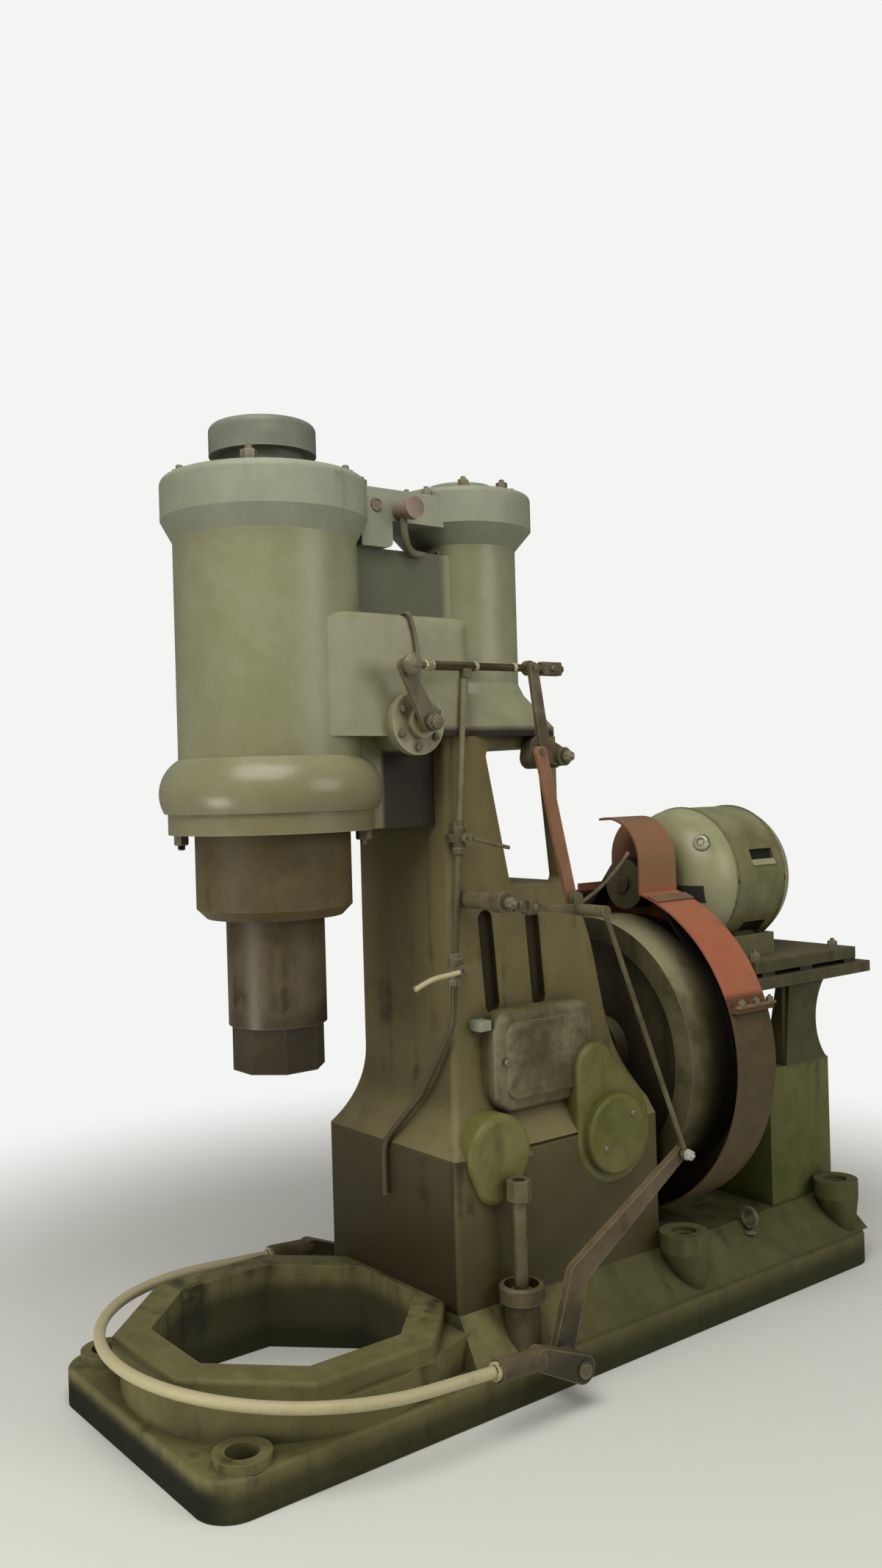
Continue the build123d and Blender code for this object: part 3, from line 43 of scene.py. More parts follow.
class Flow:
    """A value that flows between a finish's nodes. Arithmetic on it adds Math nodes."""

    def __init__(self, tree, socket=None):
        self.tree = tree
        self.socket = socket

    def node(self, kind, settings=None, sockets=None, out=0):
        """One more node: its type, its settings, and the values or links of its sockets."""
        made = self.tree.nodes.new("ShaderNode" + kind)
        for name, value in (settings or {}).items():
            if name == "stops":
                stops = made.color_ramp.elements
                while len(stops) < len(value):
                    stops.new(0.5)
                for stop, (place, shade) in zip(stops, value):
                    stop.position = place
                    stop.color = shade
            else:
                setattr(made, name, value)
        for name, value in (sockets or {}).items():
            if isinstance(value, Flow):
                self.tree.links.new(value.socket, made.inputs[name])
            else:
                made.inputs[name].default_value = value
        return Flow(self.tree, made.outputs[out])

    def maths(self, operation, first, second):
        return self.node("Math", {"operation": operation}, {0: first, 1: second})

    def __add__(self, other):
        return self.maths("ADD", self, other)

    def __sub__(self, other):
        return self.maths("SUBTRACT", self, other)

    def __mul__(self, other):
        return self.maths("MULTIPLY", self, other)

    def __rsub__(self, other):
        return self.maths("SUBTRACT", other, self)

    __radd__ = __add__
    __rmul__ = __mul__

    def between(self, low, high):
        """0 below low, 1 above high, smooth between."""
        return self.node(
            "MapRange",
            {"interpolation_type": "SMOOTHSTEP"},
            {"Value": self, "From Min": low, "From Max": high},
        )

    def mixed(self, over, share):
        """This colour with another over it, by its share."""
        return self.node(
            "Mix", {"data_type": "RGBA"}, {"Factor": share, 6: self, 7: over}, out=2
        )


def new_finish(name):
    """An empty material, its Flow to build on, and its shader's inputs."""
    finish = bpy.data.materials.new(name)
    finish.use_nodes = True
    return finish, Flow(finish.node_tree), finish.node_tree.nodes["Principled BSDF"].inputs


def wear_finish(name, finish, *pieces):
    """Puts a finish on pieces and CAD nodes."""
    for piece in pieces:
        thing = nodes[piece] if isinstance(piece, str) else piece
        if not thing.material_slots:
            thing.data.materials.append(finish)
        for place in thing.material_slots:
            place.material = finish


floor_colour = (0.68, 0.68, 0.64, 1)
pale_surround = (0.93, 0.94, 0.92, 1)
floor_half = 30
bpy.ops.mesh.primitive_plane_add(size=2 * floor_half, location=(0, 0, -0.001))
floor = bpy.context.object
floor.name = "floor"
bpy.ops.object.transform_apply(location=True)
floor_finish, floor_flow, floor_shader = new_finish("floor_finish")
floor_shader["Base Color"].default_value = floor_colour
floor_shader["Roughness"].default_value = 0.6
floor_place = floor_flow.node("NewGeometry", out="Position")
far_off = floor_flow.node("VectorMath", {"operation": "LENGTH"}, {0: floor_place}, out=1)
faded = far_off.between(1.35, 3.1) * floor_flow.node("LightPath", out="Is Camera Ray")
haze = floor_flow.node("Emission", None, {"Color": pale_surround, "Strength": 0.97})
plain = Flow(floor_finish.node_tree, floor_finish.node_tree.nodes["Principled BSDF"].outputs[0])
faded_floor = floor_flow.node("MixShader", None, {0: faded, 1: plain, 2: haze})
floor_output = floor_finish.node_tree.nodes["Material Output"]
floor_finish.node_tree.links.new(faded_floor.socket, floor_output.inputs["Surface"])
floor.data.materials.append(floor_finish)

world = bpy.data.worlds.new("surround")
bpy.context.scene.world = world
world.use_nodes = True
world_flow = Flow(world.node_tree)
seen_directly = world_flow.node("LightPath", out="Is Camera Ray")
seen_in_gloss = world_flow.node("LightPath", out="Is Glossy Ray")
backdrop = world.node_tree.nodes["Background"]
backdrop.inputs["Color"].default_value = pale_surround
strength = 0.34 + 0.63 * seen_directly - 0.14 * seen_in_gloss
world.node_tree.links.new(strength.socket, backdrop.inputs["Strength"])

# Workshop light: a broad soft panel overhead at the ram end, a side panel and a weak fill.
for name, place, aim, size, power in (
    ("overhead_panel", (1.5, -2.0, 4.7), (0, 0, 1.1), 3.0, 158),
    ("side_panel", (4.4, 1.4, 2.7), (0, 0.2, 1.0), 2.4, 62),
    ("low_panel", (0.2, -3.4, 0.5), (0, -1.0, 0.1), 1.0, 27),
):
    panel = bpy.data.lights.new(name, "AREA")
    panel.size = size
    panel.energy = power
    panel.color = (1.0, 0.985, 0.92)
    panel_object = bpy.data.objects.new(name, panel)
    panel_object.location = place
    towards = Vector(aim) - Vector(place)
    panel_object.rotation_euler = towards.to_track_quat("-Z", "Y").to_euler()
    bpy.context.collection.objects.link(panel_object)

# Camera at the photograph's place: eye height beside the ram end, tilted a little to one side.
camera_place = Vector((2.8003, -2.3928, 1.5))
camera_roll = 0.028
look = Vector((-0.7863, 0.6179, 0)).normalized()
level_right = look.cross(Vector((0, 0, 1)))
camera_right = cos(camera_roll) * level_right - sin(camera_roll) * Vector((0, 0, 1))
camera_up = sin(camera_roll) * level_right + cos(camera_roll) * Vector((0, 0, 1))
camera_data = bpy.data.cameras.new("photo_camera")
camera_data.sensor_width = 36
camera_data.sensor_fit = "HORIZONTAL"
camera_data.lens = 53.82
camera = bpy.data.objects.new("photo_camera", camera_data)
camera.matrix_world = Matrix.Translation(camera_place) @ Matrix(
    (camera_right, camera_up, -look)
).transposed().to_4x4()
bpy.context.collection.objects.link(camera)
bpy.context.scene.camera = camera
bpy.context.scene.view_settings.view_transform = "Standard"

# Base casting: one heavy grey-iron casting with the anvil ring, painted olive long ago.
# The paint is greasy and dusty, rubbed to a paler tone on its edges and upper faces.


def casting_finish(name, paint, grease_and_shade_tone, dust_and_highlight_tone, wear_and_highlight_tone, grime=0.5, dusty=0.5, rough=(0.42, 0.66),
                   grain=0.35, foot_z=None, seed=0.0, worn=0.6, corner=0.75, reach=0.07,
                   dust_and_highlight_range=(0.5, 1.1), tinted=(), pit_shade=None, front_face_shade=None, shine=0.3):
    """Old paint over cast iron: patches of grease, painted shade in its corners, dust and rubbed edges, the
    last two also painted highlights where a finish turns them up.
    """
    finish, flow, shader = new_finish(name)
    shader["Specular IOR Level"].default_value = shine
    place = flow.node("TexCoord", out="Object")
    shifted = flow.node("Mapping", None, {"Vector": place, "Location": (seed, seed, seed)})
    broad = flow.node("TexNoise", None, {"Vector": shifted, "Scale": 2.6, "Detail": 5, "Roughness": 0.6})
    patch = flow.node("TexNoise", None, {"Vector": shifted, "Scale": 15, "Detail": 6, "Roughness": 0.62})
    speck = flow.node("TexNoise", None, {"Vector": shifted, "Scale": 95, "Detail": 3})
    drawn = flow.node("Mapping", None, {"Vector": shifted, "Scale": (21, 21, 1.5)})
    streak = flow.node("TexNoise", None, {"Vector": drawn, "Scale": 1, "Detail": 4})
    facing = flow.node("NewGeometry", out="Normal")
    rounded = flow.node("Bevel", {"samples": 4}, {"Radius": 0.006})
    sharp = 1 - flow.node("VectorMath", {"operation": "DOT_PRODUCT"}, {0: facing, 1: rounded}, out=1)
    open_air = flow.node("AmbientOcclusion", {"samples": 4}, {"Distance": reach}, out="AO")
    up = flow.node("SeparateXYZ", None, {"Vector": facing}, out=2)
    greasy = (0.5 * broad + 0.3 * patch + 0.4 * streak).between(0.70 - 0.2 * grime, 0.90 - 0.2 * grime)
    if foot_z is not None:
        height = flow.node("SeparateXYZ", None, {"Vector": place}, out=2)
        low = 1 - (height + 0.35 * broad).between(foot_z[0], foot_z[1])
        greasy = flow.node("Math", {"operation": "MAXIMUM"}, {0: greasy, 1: low * 0.85})
    # Painted shade: corners and crevices found by ambient occlusion take the grease tone.
    corner_shade = (1 - open_air + 0.5 * (patch - 0.5)).between(0.15, 0.75) * corner
    # Dust on upward faces; where a finish sets it high, as on the flywheel and motor bells, it also stands in
    # for a painted highlight.
    dust_and_highlight = (up * (0.45 + patch)).between(*dust_and_highlight_range) * dusty
    # Rubbed, paler edges: wear, and on the door, covers and treadle lever also a painted highlight along their
    # edges.
    edge_wear_and_highlight = (sharp + 0.3 * (patch - 0.5)).between(0.06, 0.3) * worn
    flecks = speck.between(0.66, 0.74) * 0.3
    tone = (0.6 * broad + 0.4 * patch).between(0.35, 0.65) * 0.45
    colour = flow.node("Mix", {"data_type": "RGBA"}, {"Factor": tone, 6: paint, 7: wear_and_highlight_tone}, out=2)
    colour = colour.mixed(grease_and_shade_tone, greasy).mixed(dust_and_highlight_tone, dust_and_highlight).mixed(wear_and_highlight_tone, edge_wear_and_highlight)
    colour = colour.mixed(grease_and_shade_tone, corner_shade).mixed(grease_and_shade_tone, flecks)
    dull = 0.14 * dust_and_highlight
    for tint, strength, low_corner, high_corner, edge in tinted:
        inside = strength * (1 - 0.25 * patch)
        for axis, (low, high) in enumerate(zip(low_corner, high_corner)):
            along = flow.node("SeparateXYZ", None, {"Vector": place}, out=axis)
            inside = inside * along.between(low, low + edge) * (1 - along.between(high - edge, high))
        colour = colour.mixed(tint, inside)
        dull = dull + 0.45 * inside
    # Painted shade: the inside of a round pit darkened below its top.
    if pit_shade is not None:
        tint, centre, radius, top_z = pit_shade
        level = flow.node("VectorMath", {"operation": "MULTIPLY"}, {0: place, 1: (1, 1, 0)})
        off_axis = flow.node("VectorMath", {"operation": "DISTANCE"}, {0: level, 1: centre}, out=1)
        height = flow.node("SeparateXYZ", None, {"Vector": place}, out=2)
        below = 1 - (height + 0.03 * patch).between(top_z - 0.05, top_z)
        colour = colour.mixed(tint, 0.8 * below * (1 - off_axis.between(radius, radius + 0.01)))
    # Painted shade: faces turned to the front darkened, most strongly low down.
    if front_face_shade is not None:
        front_shade_tone, top_z = front_face_shade
        height = flow.node("SeparateXYZ", None, {"Vector": place}, out=2)
        forward = 0 - flow.node("SeparateXYZ", None, {"Vector": facing}, out=1)
        scaled = forward.between(0.93, 0.99) * (1 - height.between(top_z - 0.9, top_z + 0.3)) * 0.8
        colour = colour.mixed(front_shade_tone, scaled)
    tree = finish.node_tree
    tree.links.new(colour.socket, shader["Base Color"])
    sheen = rough[0] + (rough[1] - rough[0]) * (1 - greasy) + dull + 0.12 * (patch - 0.5)
    sheen = sheen - 0.12 * edge_wear_and_highlight
    tree.links.new(sheen.socket, shader["Roughness"])
    skin = flow.node("TexNoise", None, {"Vector": shifted, "Scale": 150, "Detail": 4})
    relief = 0.5 * skin + 0.8 * patch - 0.5 * edge_wear_and_highlight
    bump = flow.node("Bump", None, {"Height": relief, "Strength": grain, "Distance": 0.0022})
    tree.links.new(bump.socket, shader["Normal"])
    return finish


# Painted shade: the inside of the anvil ring is darkened below its top. The tinted boxes make the base darker
# and greener behind the ring, and darker along its lowest 85 mm, darkest at the front end.
base_finish = casting_finish(
    "base_paint", (0.094, 0.084, 0.030, 1), (0.022, 0.021, 0.009, 1), (0.14, 0.135, 0.055, 1),
    (0.24, 0.215, 0.09, 1), grime=0.55, dusty=0.12, grain=0.45, seed=3.0, shine=0.22, tinted=(
        ((0.045, 0.050, 0.018, 1), 0.65, (-2, -0.35, -1), (2, 3, 1), 0.5),
        ((0.016, 0.018, 0.008, 1), 0.85, (-2, -2, -1), (2, 2, 0.085), 0.05),
        ((0.010, 0.011, 0.006, 1), 1.1, (-2, -1.3, -1), (2, -1.10, 0.085), 0.04),
    ), pit_shade=((0.022, 0.022, 0.010, 1), (0, -0.72, 0), 0.330, 0.212)
)
wear_finish("base_paint", base_finish, "base_casting")

# Lifting eye on the base's upper face, behind the flywheel: a forged ring on a short shank.


def stepped(name, sides, *steps):
    """A turned piece that stands on the origin, from one radius and height to the next."""
    radius, height = steps[0]
    bpy.ops.object.select_all(action="DESELECT")
    bpy.ops.mesh.primitive_cylinder_add(
        vertices=sides, radius=radius, depth=height, location=(0, 0, height / 2)
    )
    piece = bpy.context.object
    piece.name = name
    bpy.ops.object.transform_apply(location=True)
    for face in piece.data.polygons:
        face.select = face.normal.z > 0.9
    bpy.ops.object.mode_set(mode="EDIT")
    bpy.ops.mesh.select_mode(type="FACE")
    for next_radius, next_height in steps[1:]:
        rise = {"value": (0, 0, next_height - height)}
        bpy.ops.mesh.extrude_region_move(TRANSFORM_OT_translate=rise)
        growth = next_radius / radius
        bpy.ops.transform.resize(value=(growth, growth, 1), center_override=(0, 0, 0))
        radius, height = next_radius, next_height
    bpy.ops.mesh.select_all(action="SELECT")
    bpy.ops.mesh.normals_make_consistent(inside=False)
    bpy.ops.object.mode_set(mode="OBJECT")
    return in_order(piece)


def in_order(piece):
    """The same mesh with its corners and faces in a fixed order, because extrusion mixes them."""
    corners = [tuple(corner.co) for corner in piece.data.vertices]
    order = sorted(range(len(corners)), key=corners.__getitem__)
    rank = {old: new for new, old in enumerate(order)}
    faces = []
    for face in piece.data.polygons:
        ring = [rank[corner] for corner in face.vertices]
        first = ring.index(min(ring))
        faces.append(ring[first:] + ring[:first])
    piece.data.clear_geometry()
    piece.data.from_pydata([corners[place] for place in order], [], sorted(faces))
    return piece


def softened(piece, width, segments=2):
    """Rounds a piece's sharp edges and shades its curved faces smooth."""
    bpy.ops.object.select_all(action="DESELECT")
    piece.select_set(True)
    bpy.context.view_layer.objects.active = piece
    rounding = piece.modifiers.new("rounding", "BEVEL")
    rounding.width = width
    rounding.segments = segments
    rounding.limit_method = "ANGLE"
    rounding.angle_limit = radians(40)
    bpy.ops.object.modifier_apply(modifier=rounding.name)
    bpy.ops.object.shade_smooth_by_angle(angle=radians(35))
    return piece


def placed(piece, place, along=(0, 0, 1), turn=0.0):
    """Puts a piece's mesh at its place, its own +Z along a direction."""
    leaning = Vector(along).to_track_quat("Z", "Y").to_matrix().to_4x4()
    piece.data.transform(Matrix.Translation(place) @ leaning @ Matrix.Rotation(turn, 4, "Z"))
    piece.data.update()
    return piece


def twin(piece, name):
    """A copy with its own mesh."""
    other = piece.copy()
    other.data = piece.data.copy()
    other.name = name
    bpy.context.collection.objects.link(other)
    return other


def joined(name, pieces):
    """One piece out of several."""
    bpy.ops.object.select_all(action="DESELECT")
    for piece in pieces:
        piece.select_set(True)
    bpy.context.view_layer.objects.active = pieces[0]
    bpy.ops.object.join()
    pieces[0].name = name
    return pieces[0]


def fitted(piece, body, finish):
    """Gives a finished piece its body, its slot and its finish."""
    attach(piece, body)
    wear_finish(finish.name, finish, piece)
    return piece


def resting(node, place, toward):
    """Where a CAD node's surface is met from a place, looking in a direction."""
    hit, point, normal, face = nodes[node].ray_cast(Vector(place), Vector(toward))
    return point if hit else Vector(place)


steel_finish = casting_finish(
    "bolt_steel", (0.085, 0.072, 0.042, 1), (0.025, 0.020, 0.011, 1), (0.19, 0.16, 0.10, 1),
    (0.33, 0.30, 0.21, 1), grime=0.35, dusty=0.4, rough=(0.28, 0.46), seed=5.0
)
eye_place = resting("base_casting", (0.31, 0.66, 0.6), (0, 0, -1))
bpy.ops.mesh.primitive_torus_add(
    major_radius=0.026, minor_radius=0.007, major_segments=28, minor_segments=10, location=(0, 0, 0.046),
    rotation=(radians(90), 0, 0)
)
eye_ring = bpy.context.object
bpy.ops.object.transform_apply(location=True, rotation=True)
eye_shank = stepped("eye_shank", 20, (0.021, 0.006), (0.013, 0.008), (0.011, 0.024))
lifting_eye = softened(joined("lifting_eye", [eye_ring, eye_shank]), 0.001)
fitted(placed(lifting_eye, eye_place), "frame", steel_finish)

# Frame column and motor stand: dark olive castings, oily from years of use, darker low down.
# Painted shade: the two grooves in the column's side are darkened nearly black, and its front-facing faces
# darkened, most strongly low down.
frame_finish = casting_finish(
    "frame_paint", (0.134, 0.110, 0.048, 1), (0.040, 0.034, 0.014, 1), (0.20, 0.17, 0.085, 1),
    (0.19, 0.16, 0.07, 1), grime=0.55, dusty=0.6, rough=(0.34, 0.6), foot_z=(0.3, 1.25), seed=7.0,
    dust_and_highlight_range=(0.12, 0.6), shine=0.16, tinted=(
        ((0.018, 0.015, 0.008, 1), 1, (0.17, -0.24, 0.9), (0.1985, 0.01, 1.17), 0.002),
    ),
    front_face_shade=((0.019, 0.013, 0.006, 1), 0.95)
)
wear_finish("frame_paint", frame_finish, "frame_column")
guide_finish = casting_finish(
    "guide_paint", (0.070, 0.050, 0.022, 1), (0.026, 0.018, 0.008, 1), (0.13, 0.105, 0.055, 1),
    (0.17, 0.14, 0.07, 1), grime=0.4, dusty=0.4, rough=(0.30, 0.5), seed=9.0, shine=0.2
)
wear_finish("guide_paint", guide_finish, "ram_guide")
valve_finish = casting_finish(
    "valve_paint", (0.20, 0.185, 0.10, 1), (0.05, 0.042, 0.02, 1), (0.27, 0.26, 0.15, 1),
    (0.42, 0.40, 0.27, 1), grime=0.35, dusty=0.4, rough=(0.28, 0.46), seed=13.0
)
wear_finish("valve_paint", valve_finish, "front_valve_cover")
stand_finish = casting_finish(
    "stand_paint", (0.070, 0.080, 0.018, 1), (0.020, 0.022, 0.007, 1), (0.13, 0.13, 0.05, 1),
    (0.19, 0.17, 0.075, 1), grime=0.5, dusty=0.45, seed=11.0, shine=0.2
)
wear_finish("stand_paint", stand_finish, "rear_pedestal")

# Cylinders and their heads: smooth grey-olive paint with a soft gloss.
# Painted shade: the recess between the two cylinders above the bridge is darkened, and the web under the
# bridge is painted dark brown, partly its own oily brown and partly painted shade.
cylinder_finish = casting_finish(
    "cylinder_paint", (0.182, 0.184, 0.100, 1), (0.142, 0.118, 0.052, 1), (0.25, 0.25, 0.165, 1),
    (0.29, 0.285, 0.19, 1), grime=0.12, dusty=0.3, rough=(0.2, 0.36), grain=0.14, seed=19.0, shine=0.42,
    foot_z=(1.45, 1.9), tinted=(
        ((0.080, 0.083, 0.058, 1), 1, (-0.3, -0.53, 1.905), (0.3, -0.22, 2.18), 0.03),
        ((0.020, 0.014, 0.007, 1), 1.15, (-0.3, -0.505, 1.3), (0.3, 0.3, 1.65), 0.02),
    )
)
wear_finish("cylinder_paint", cylinder_finish, "cylinder_block")
head_finish = casting_finish(
    "head_paint", (0.198, 0.204, 0.146, 1), (0.080, 0.082, 0.050, 1), (0.28, 0.29, 0.21, 1),
    (0.31, 0.32, 0.24, 1), grime=0.2, dusty=0.45, rough=(0.36, 0.52), grain=0.18, seed=23.0
)
wear_finish("head_paint", head_finish, "ram_cylinder_head", "compressor_head", "valve_manifold")
cap_finish = casting_finish(
    "cap_paint", (0.115, 0.130, 0.100, 1), (0.055, 0.062, 0.050, 1), (0.25, 0.26, 0.19, 1),
    (0.30, 0.31, 0.24, 1), grime=0.3, dusty=0.5, rough=(0.34, 0.52), grain=0.2, seed=89.0
)
wear_finish("cap_paint", cap_finish, "head_cover")

# Studs and nuts that hold the cylinder heads and the collar flange: plain hexagon nuts.


def stud_nut(across, thick, stud_r, reach):
    """A nut on its stud and washer, standing on the origin."""
    corner_r = across / sqrt(3)
    washer = stepped("washer", 20, (across * 0.62, thick * 0.14))
    nut = stepped("nut", 6, (corner_r, thick * 1.02), (corner_r * 0.9, thick * 1.14))
    stud = stepped("stud", 12, (stud_r, thick * 1.14 + reach * 0.8), (stud_r * 0.75, thick * 1.14 + reach))
    return softened(joined("stud_nut", [washer, nut, stud]), across * 0.02, 1)


def nut_row(name, pattern, places, along, body, finish):
    """The same nut at several places, as one piece."""
    nuts = []
    for number, place in enumerate(places):
        nuts.append(placed(twin(pattern, f"{name}_{number}"), place, along, 0.7 * number))
    return fitted(joined(name, nuts), body, finish)


def on_circle(centre, radius, z, degrees_list):
    """Places on a level circle."""
    return [
        (centre[0] + radius * cos(radians(a)), centre[1] + radius * sin(radians(a)), z) for a in degrees_list
    ]


head_nut = stud_nut(0.034, 0.024, 0.009, 0.012)
nut_row("ram_head_nuts", head_nut, on_circle((0, -0.72), 0.202, 2.2545, (-121, -40, 59, 149)),
        (0, 0, 1), "frame", steel_finish)
nut_row("collar_nuts", head_nut, on_circle((0, -0.72), 0.222, 1.3955, (-121, 59, 149)),
        (0, 0, -1), "frame", steel_finish)
small_nut = stud_nut(0.027, 0.02, 0.007, 0.008)
nut_row("compressor_head_nuts", small_nut, on_circle((0, -0.1), 0.145, 2.2775, (-125, -35, 12, 59, 149)),
        (0, 0, 1), "frame", steel_finish)
nut_row("manifold_nuts", small_nut, [(0.08, -0.483, 2.2475), (0.08, -0.277, 2.2475)],
        (0, 0, 1), "frame", steel_finish)
nut_row("head_cover_bolts", small_nut, on_circle((0, -0.72), 0.118, 2.2545, (-78, -10, 60, 150)),
        (0, 0, 1), "frame", steel_finish)

# Relief pipe from the safety valve into the compressor cylinder, and a thin oil line on the bridge.


def rod(name, radius, *points):
    """A round rod or pipe along a smooth line."""
    line = bpy.data.curves.new(name, "CURVE")
    line.dimensions = "3D"
    line.bevel_depth = radius
    line.bevel_resolution = 3
    line.use_fill_caps = True
    spline = line.splines.new("NURBS")
    spline.points.add(len(points) - 1)
    for knot, place in zip(spline.points, points):
        knot.co = (*place, 1)
    spline.order_u = 3
    spline.use_endpoint_u = True
    piece = bpy.data.objects.new(name, line)
    bpy.context.collection.objects.link(piece)
    bpy.ops.object.select_all(action="DESELECT")
    piece.select_set(True)
    bpy.context.view_layer.objects.active = piece
    bpy.ops.object.convert(target="MESH")
    bpy.ops.object.shade_smooth_by_angle(angle=radians(40))
    return piece


relief_pipe = rod("relief_pipe", 0.010, (0.135, -0.395, 2.175), (0.132, -0.392, 2.120), (0.110, -0.355, 2.092),
                  (0.080, -0.300, 2.096), (0.050, -0.235, 2.100))
fitted(relief_pipe, "frame", steel_finish)
relief_flange = stepped("relief_flange", 28, (0.024, 0.007), (0.017, 0.008), (0.015, 0.018))
placed(relief_flange, (0.053, -0.2365, 2.1), (0.35, -1, 0))
fitted(softened(relief_flange, 0.001), "frame", steel_finish)
oil_line = rod("oil_line", 0.0055, (0.200, -0.462, 1.917), (0.226, -0.458, 1.924), (0.2285, -0.450, 1.900),
               (0.2285, -0.440, 1.870), (0.2285, -0.433, 1.820), (0.2285, -0.436, 1.735))
fitted(oil_line, "frame", steel_finish)

plug_seat = stepped("manifold_plug", 24, (0.017, 0.003), (0.0135, 0.0035), (0.0125, 0.001))
placed(plug_seat, (0.1148, -0.463, 2.204), (1, 0, 0))
fitted(softened(plug_seat, 0.0008, 1), "frame", steel_finish)

# Covers on the column's side: cast doors in a yellower olive, shiny with oil.
# Their pale rubbed edges are wear and also a painted highlight, strongest on the door.
cover_finish = casting_finish(
    "cover_paint", (0.082, 0.085, 0.013, 1), (0.026, 0.024, 0.007, 1), (0.15, 0.15, 0.04, 1),
    (0.26, 0.24, 0.10, 1), grime=0.35, dusty=0.5, rough=(0.24, 0.44), seed=29.0, worn=0.75
)
wear_finish("cover_paint", cover_finish, "crankcase_cover", "shield_boss")
door_finish = casting_finish(
    "door_paint", (0.060, 0.052, 0.016, 1), (0.022, 0.016, 0.006, 1), (0.14, 0.14, 0.035, 1),
    (0.46, 0.43, 0.27, 1), grime=0.55, dusty=0.4, rough=(0.2, 0.42), seed=31.5, worn=1.0
)
wear_finish("door_paint", door_finish, "inspection_door")

# Door lug, its small screws and the screw heads of the round covers.


def lug(name, low, high, width):
    """A small forged block with rounded edges, drawn in towards its outer face."""
    size = [high[i] - low[i] for i in range(3)]
    middle = [(high[i] + low[i]) / 2 for i in range(3)]
    bpy.ops.object.select_all(action="DESELECT")
    bpy.ops.mesh.primitive_cube_add(size=1, location=middle, scale=size)
    piece = bpy.context.object
    piece.name = name
    bpy.ops.object.transform_apply(location=True, rotation=True, scale=True)
    for face in piece.data.polygons:
        face.select = face.normal.x > 0.9
    bpy.ops.object.mode_set(mode="EDIT")
    bpy.ops.mesh.select_mode(type="FACE")
    bpy.ops.mesh.inset(thickness=min(size) * 0.12)
    bpy.ops.transform.translate(value=(min(size) * 0.06, 0, 0))
    bpy.ops.object.mode_set(mode="OBJECT")
    return softened(piece, width)


door_lug = lug("door_lug", (0.199, -0.282, 0.872), (0.246, -0.244, 0.900), 0.008)
fitted(door_lug, "frame", head_finish)
cover_screw = stepped("cover_screw", 16, (0.0085, 0.002), (0.0065, 0.0055), (0.0025, 0.0056),
                      (0.002, 0.003))
cover_screws = []
for place, along in (
    ((0.2635, -0.212, 0.790), (1, 0, 0)),
    ((0.3095, 0.088, 0.522), (1, 0, 0)),
    ((0.2795, -0.158, 0.552), (1, 0, 0)),
    ((0.3095, 0.190, 0.600), (1, 0, 0)),
):
    cover_screws.append(placed(twin(cover_screw, "screw"), place, along))
bpy.data.objects.remove(cover_screw)
fitted(softened(joined("cover_screws", cover_screws), 0.0006, 1), "frame", steel_finish)

# Ram and tup: machined iron, dark with grease, with pale handling marks.
ram_finish = casting_finish(
    "ram_iron", (0.047, 0.030, 0.011, 1), (0.017, 0.012, 0.005, 1), (0.085, 0.070, 0.030, 1),
    (0.17, 0.14, 0.085, 1), grime=0.45, dusty=0.3, rough=(0.25, 0.45), seed=31.0, foot_z=(1.05, 1.3)
)
wear_finish("ram_iron", ram_finish, "ram", "ram_tup")

# Flywheel and sheave: turned iron rim gone olive-brown, the web left dark and deepened by painted shade from a
# wide occlusion reach; dust on upper faces, set high, also serves as a painted highlight on the rim.
wheel_finish = casting_finish(
    "wheel_iron", (0.036, 0.033, 0.012, 1), (0.009, 0.007, 0.003, 1), (0.28, 0.26, 0.145, 1),
    (0.24, 0.215, 0.115, 1), grime=0.45, dusty=0.85, rough=(0.30, 0.50), seed=37.0, corner=0.95,
    reach=0.2, dust_and_highlight_range=(0.25, 0.8)
)
wear_finish("wheel_iron", wheel_finish, "flywheel", "drive_sheave", "motor_pulley")

# Motor: pale grey-green enamel, with a plug on its front bell, seam rings and a vent louvre; the bells painted
# paler than the drum, partly as a painted highlight.
motor_finish = casting_finish(
    "motor_paint", (0.098, 0.094, 0.034, 1), (0.052, 0.048, 0.019, 1), (0.26, 0.25, 0.14, 1),
    (0.26, 0.25, 0.14, 1), grime=0.15, dusty=0.6, rough=(0.34, 0.5), grain=0.18, seed=41.0
)
wear_finish("motor_paint", motor_finish, "motor_frame")
highlit_bell_finish = casting_finish(
    "highlit_bell_paint", (0.225, 0.225, 0.112, 1), (0.075, 0.070, 0.030, 1), (0.34, 0.33, 0.20, 1),
    (0.34, 0.33, 0.22, 1), grime=0.2, dusty=0.7, rough=(0.2, 0.36), grain=0.16, seed=45.0, shine=0.5,
    # Painted shade: a near-black patch on the front bell where an opening shows dark.
    tinted=(((0.012, 0.012, 0.008, 1), 1.2, (0.085, 0.5, 1.118), (0.172, 0.8, 1.174), 0.003),)
)
wear_finish("highlit_bell_paint", highlit_bell_finish, "motor_end_bells")

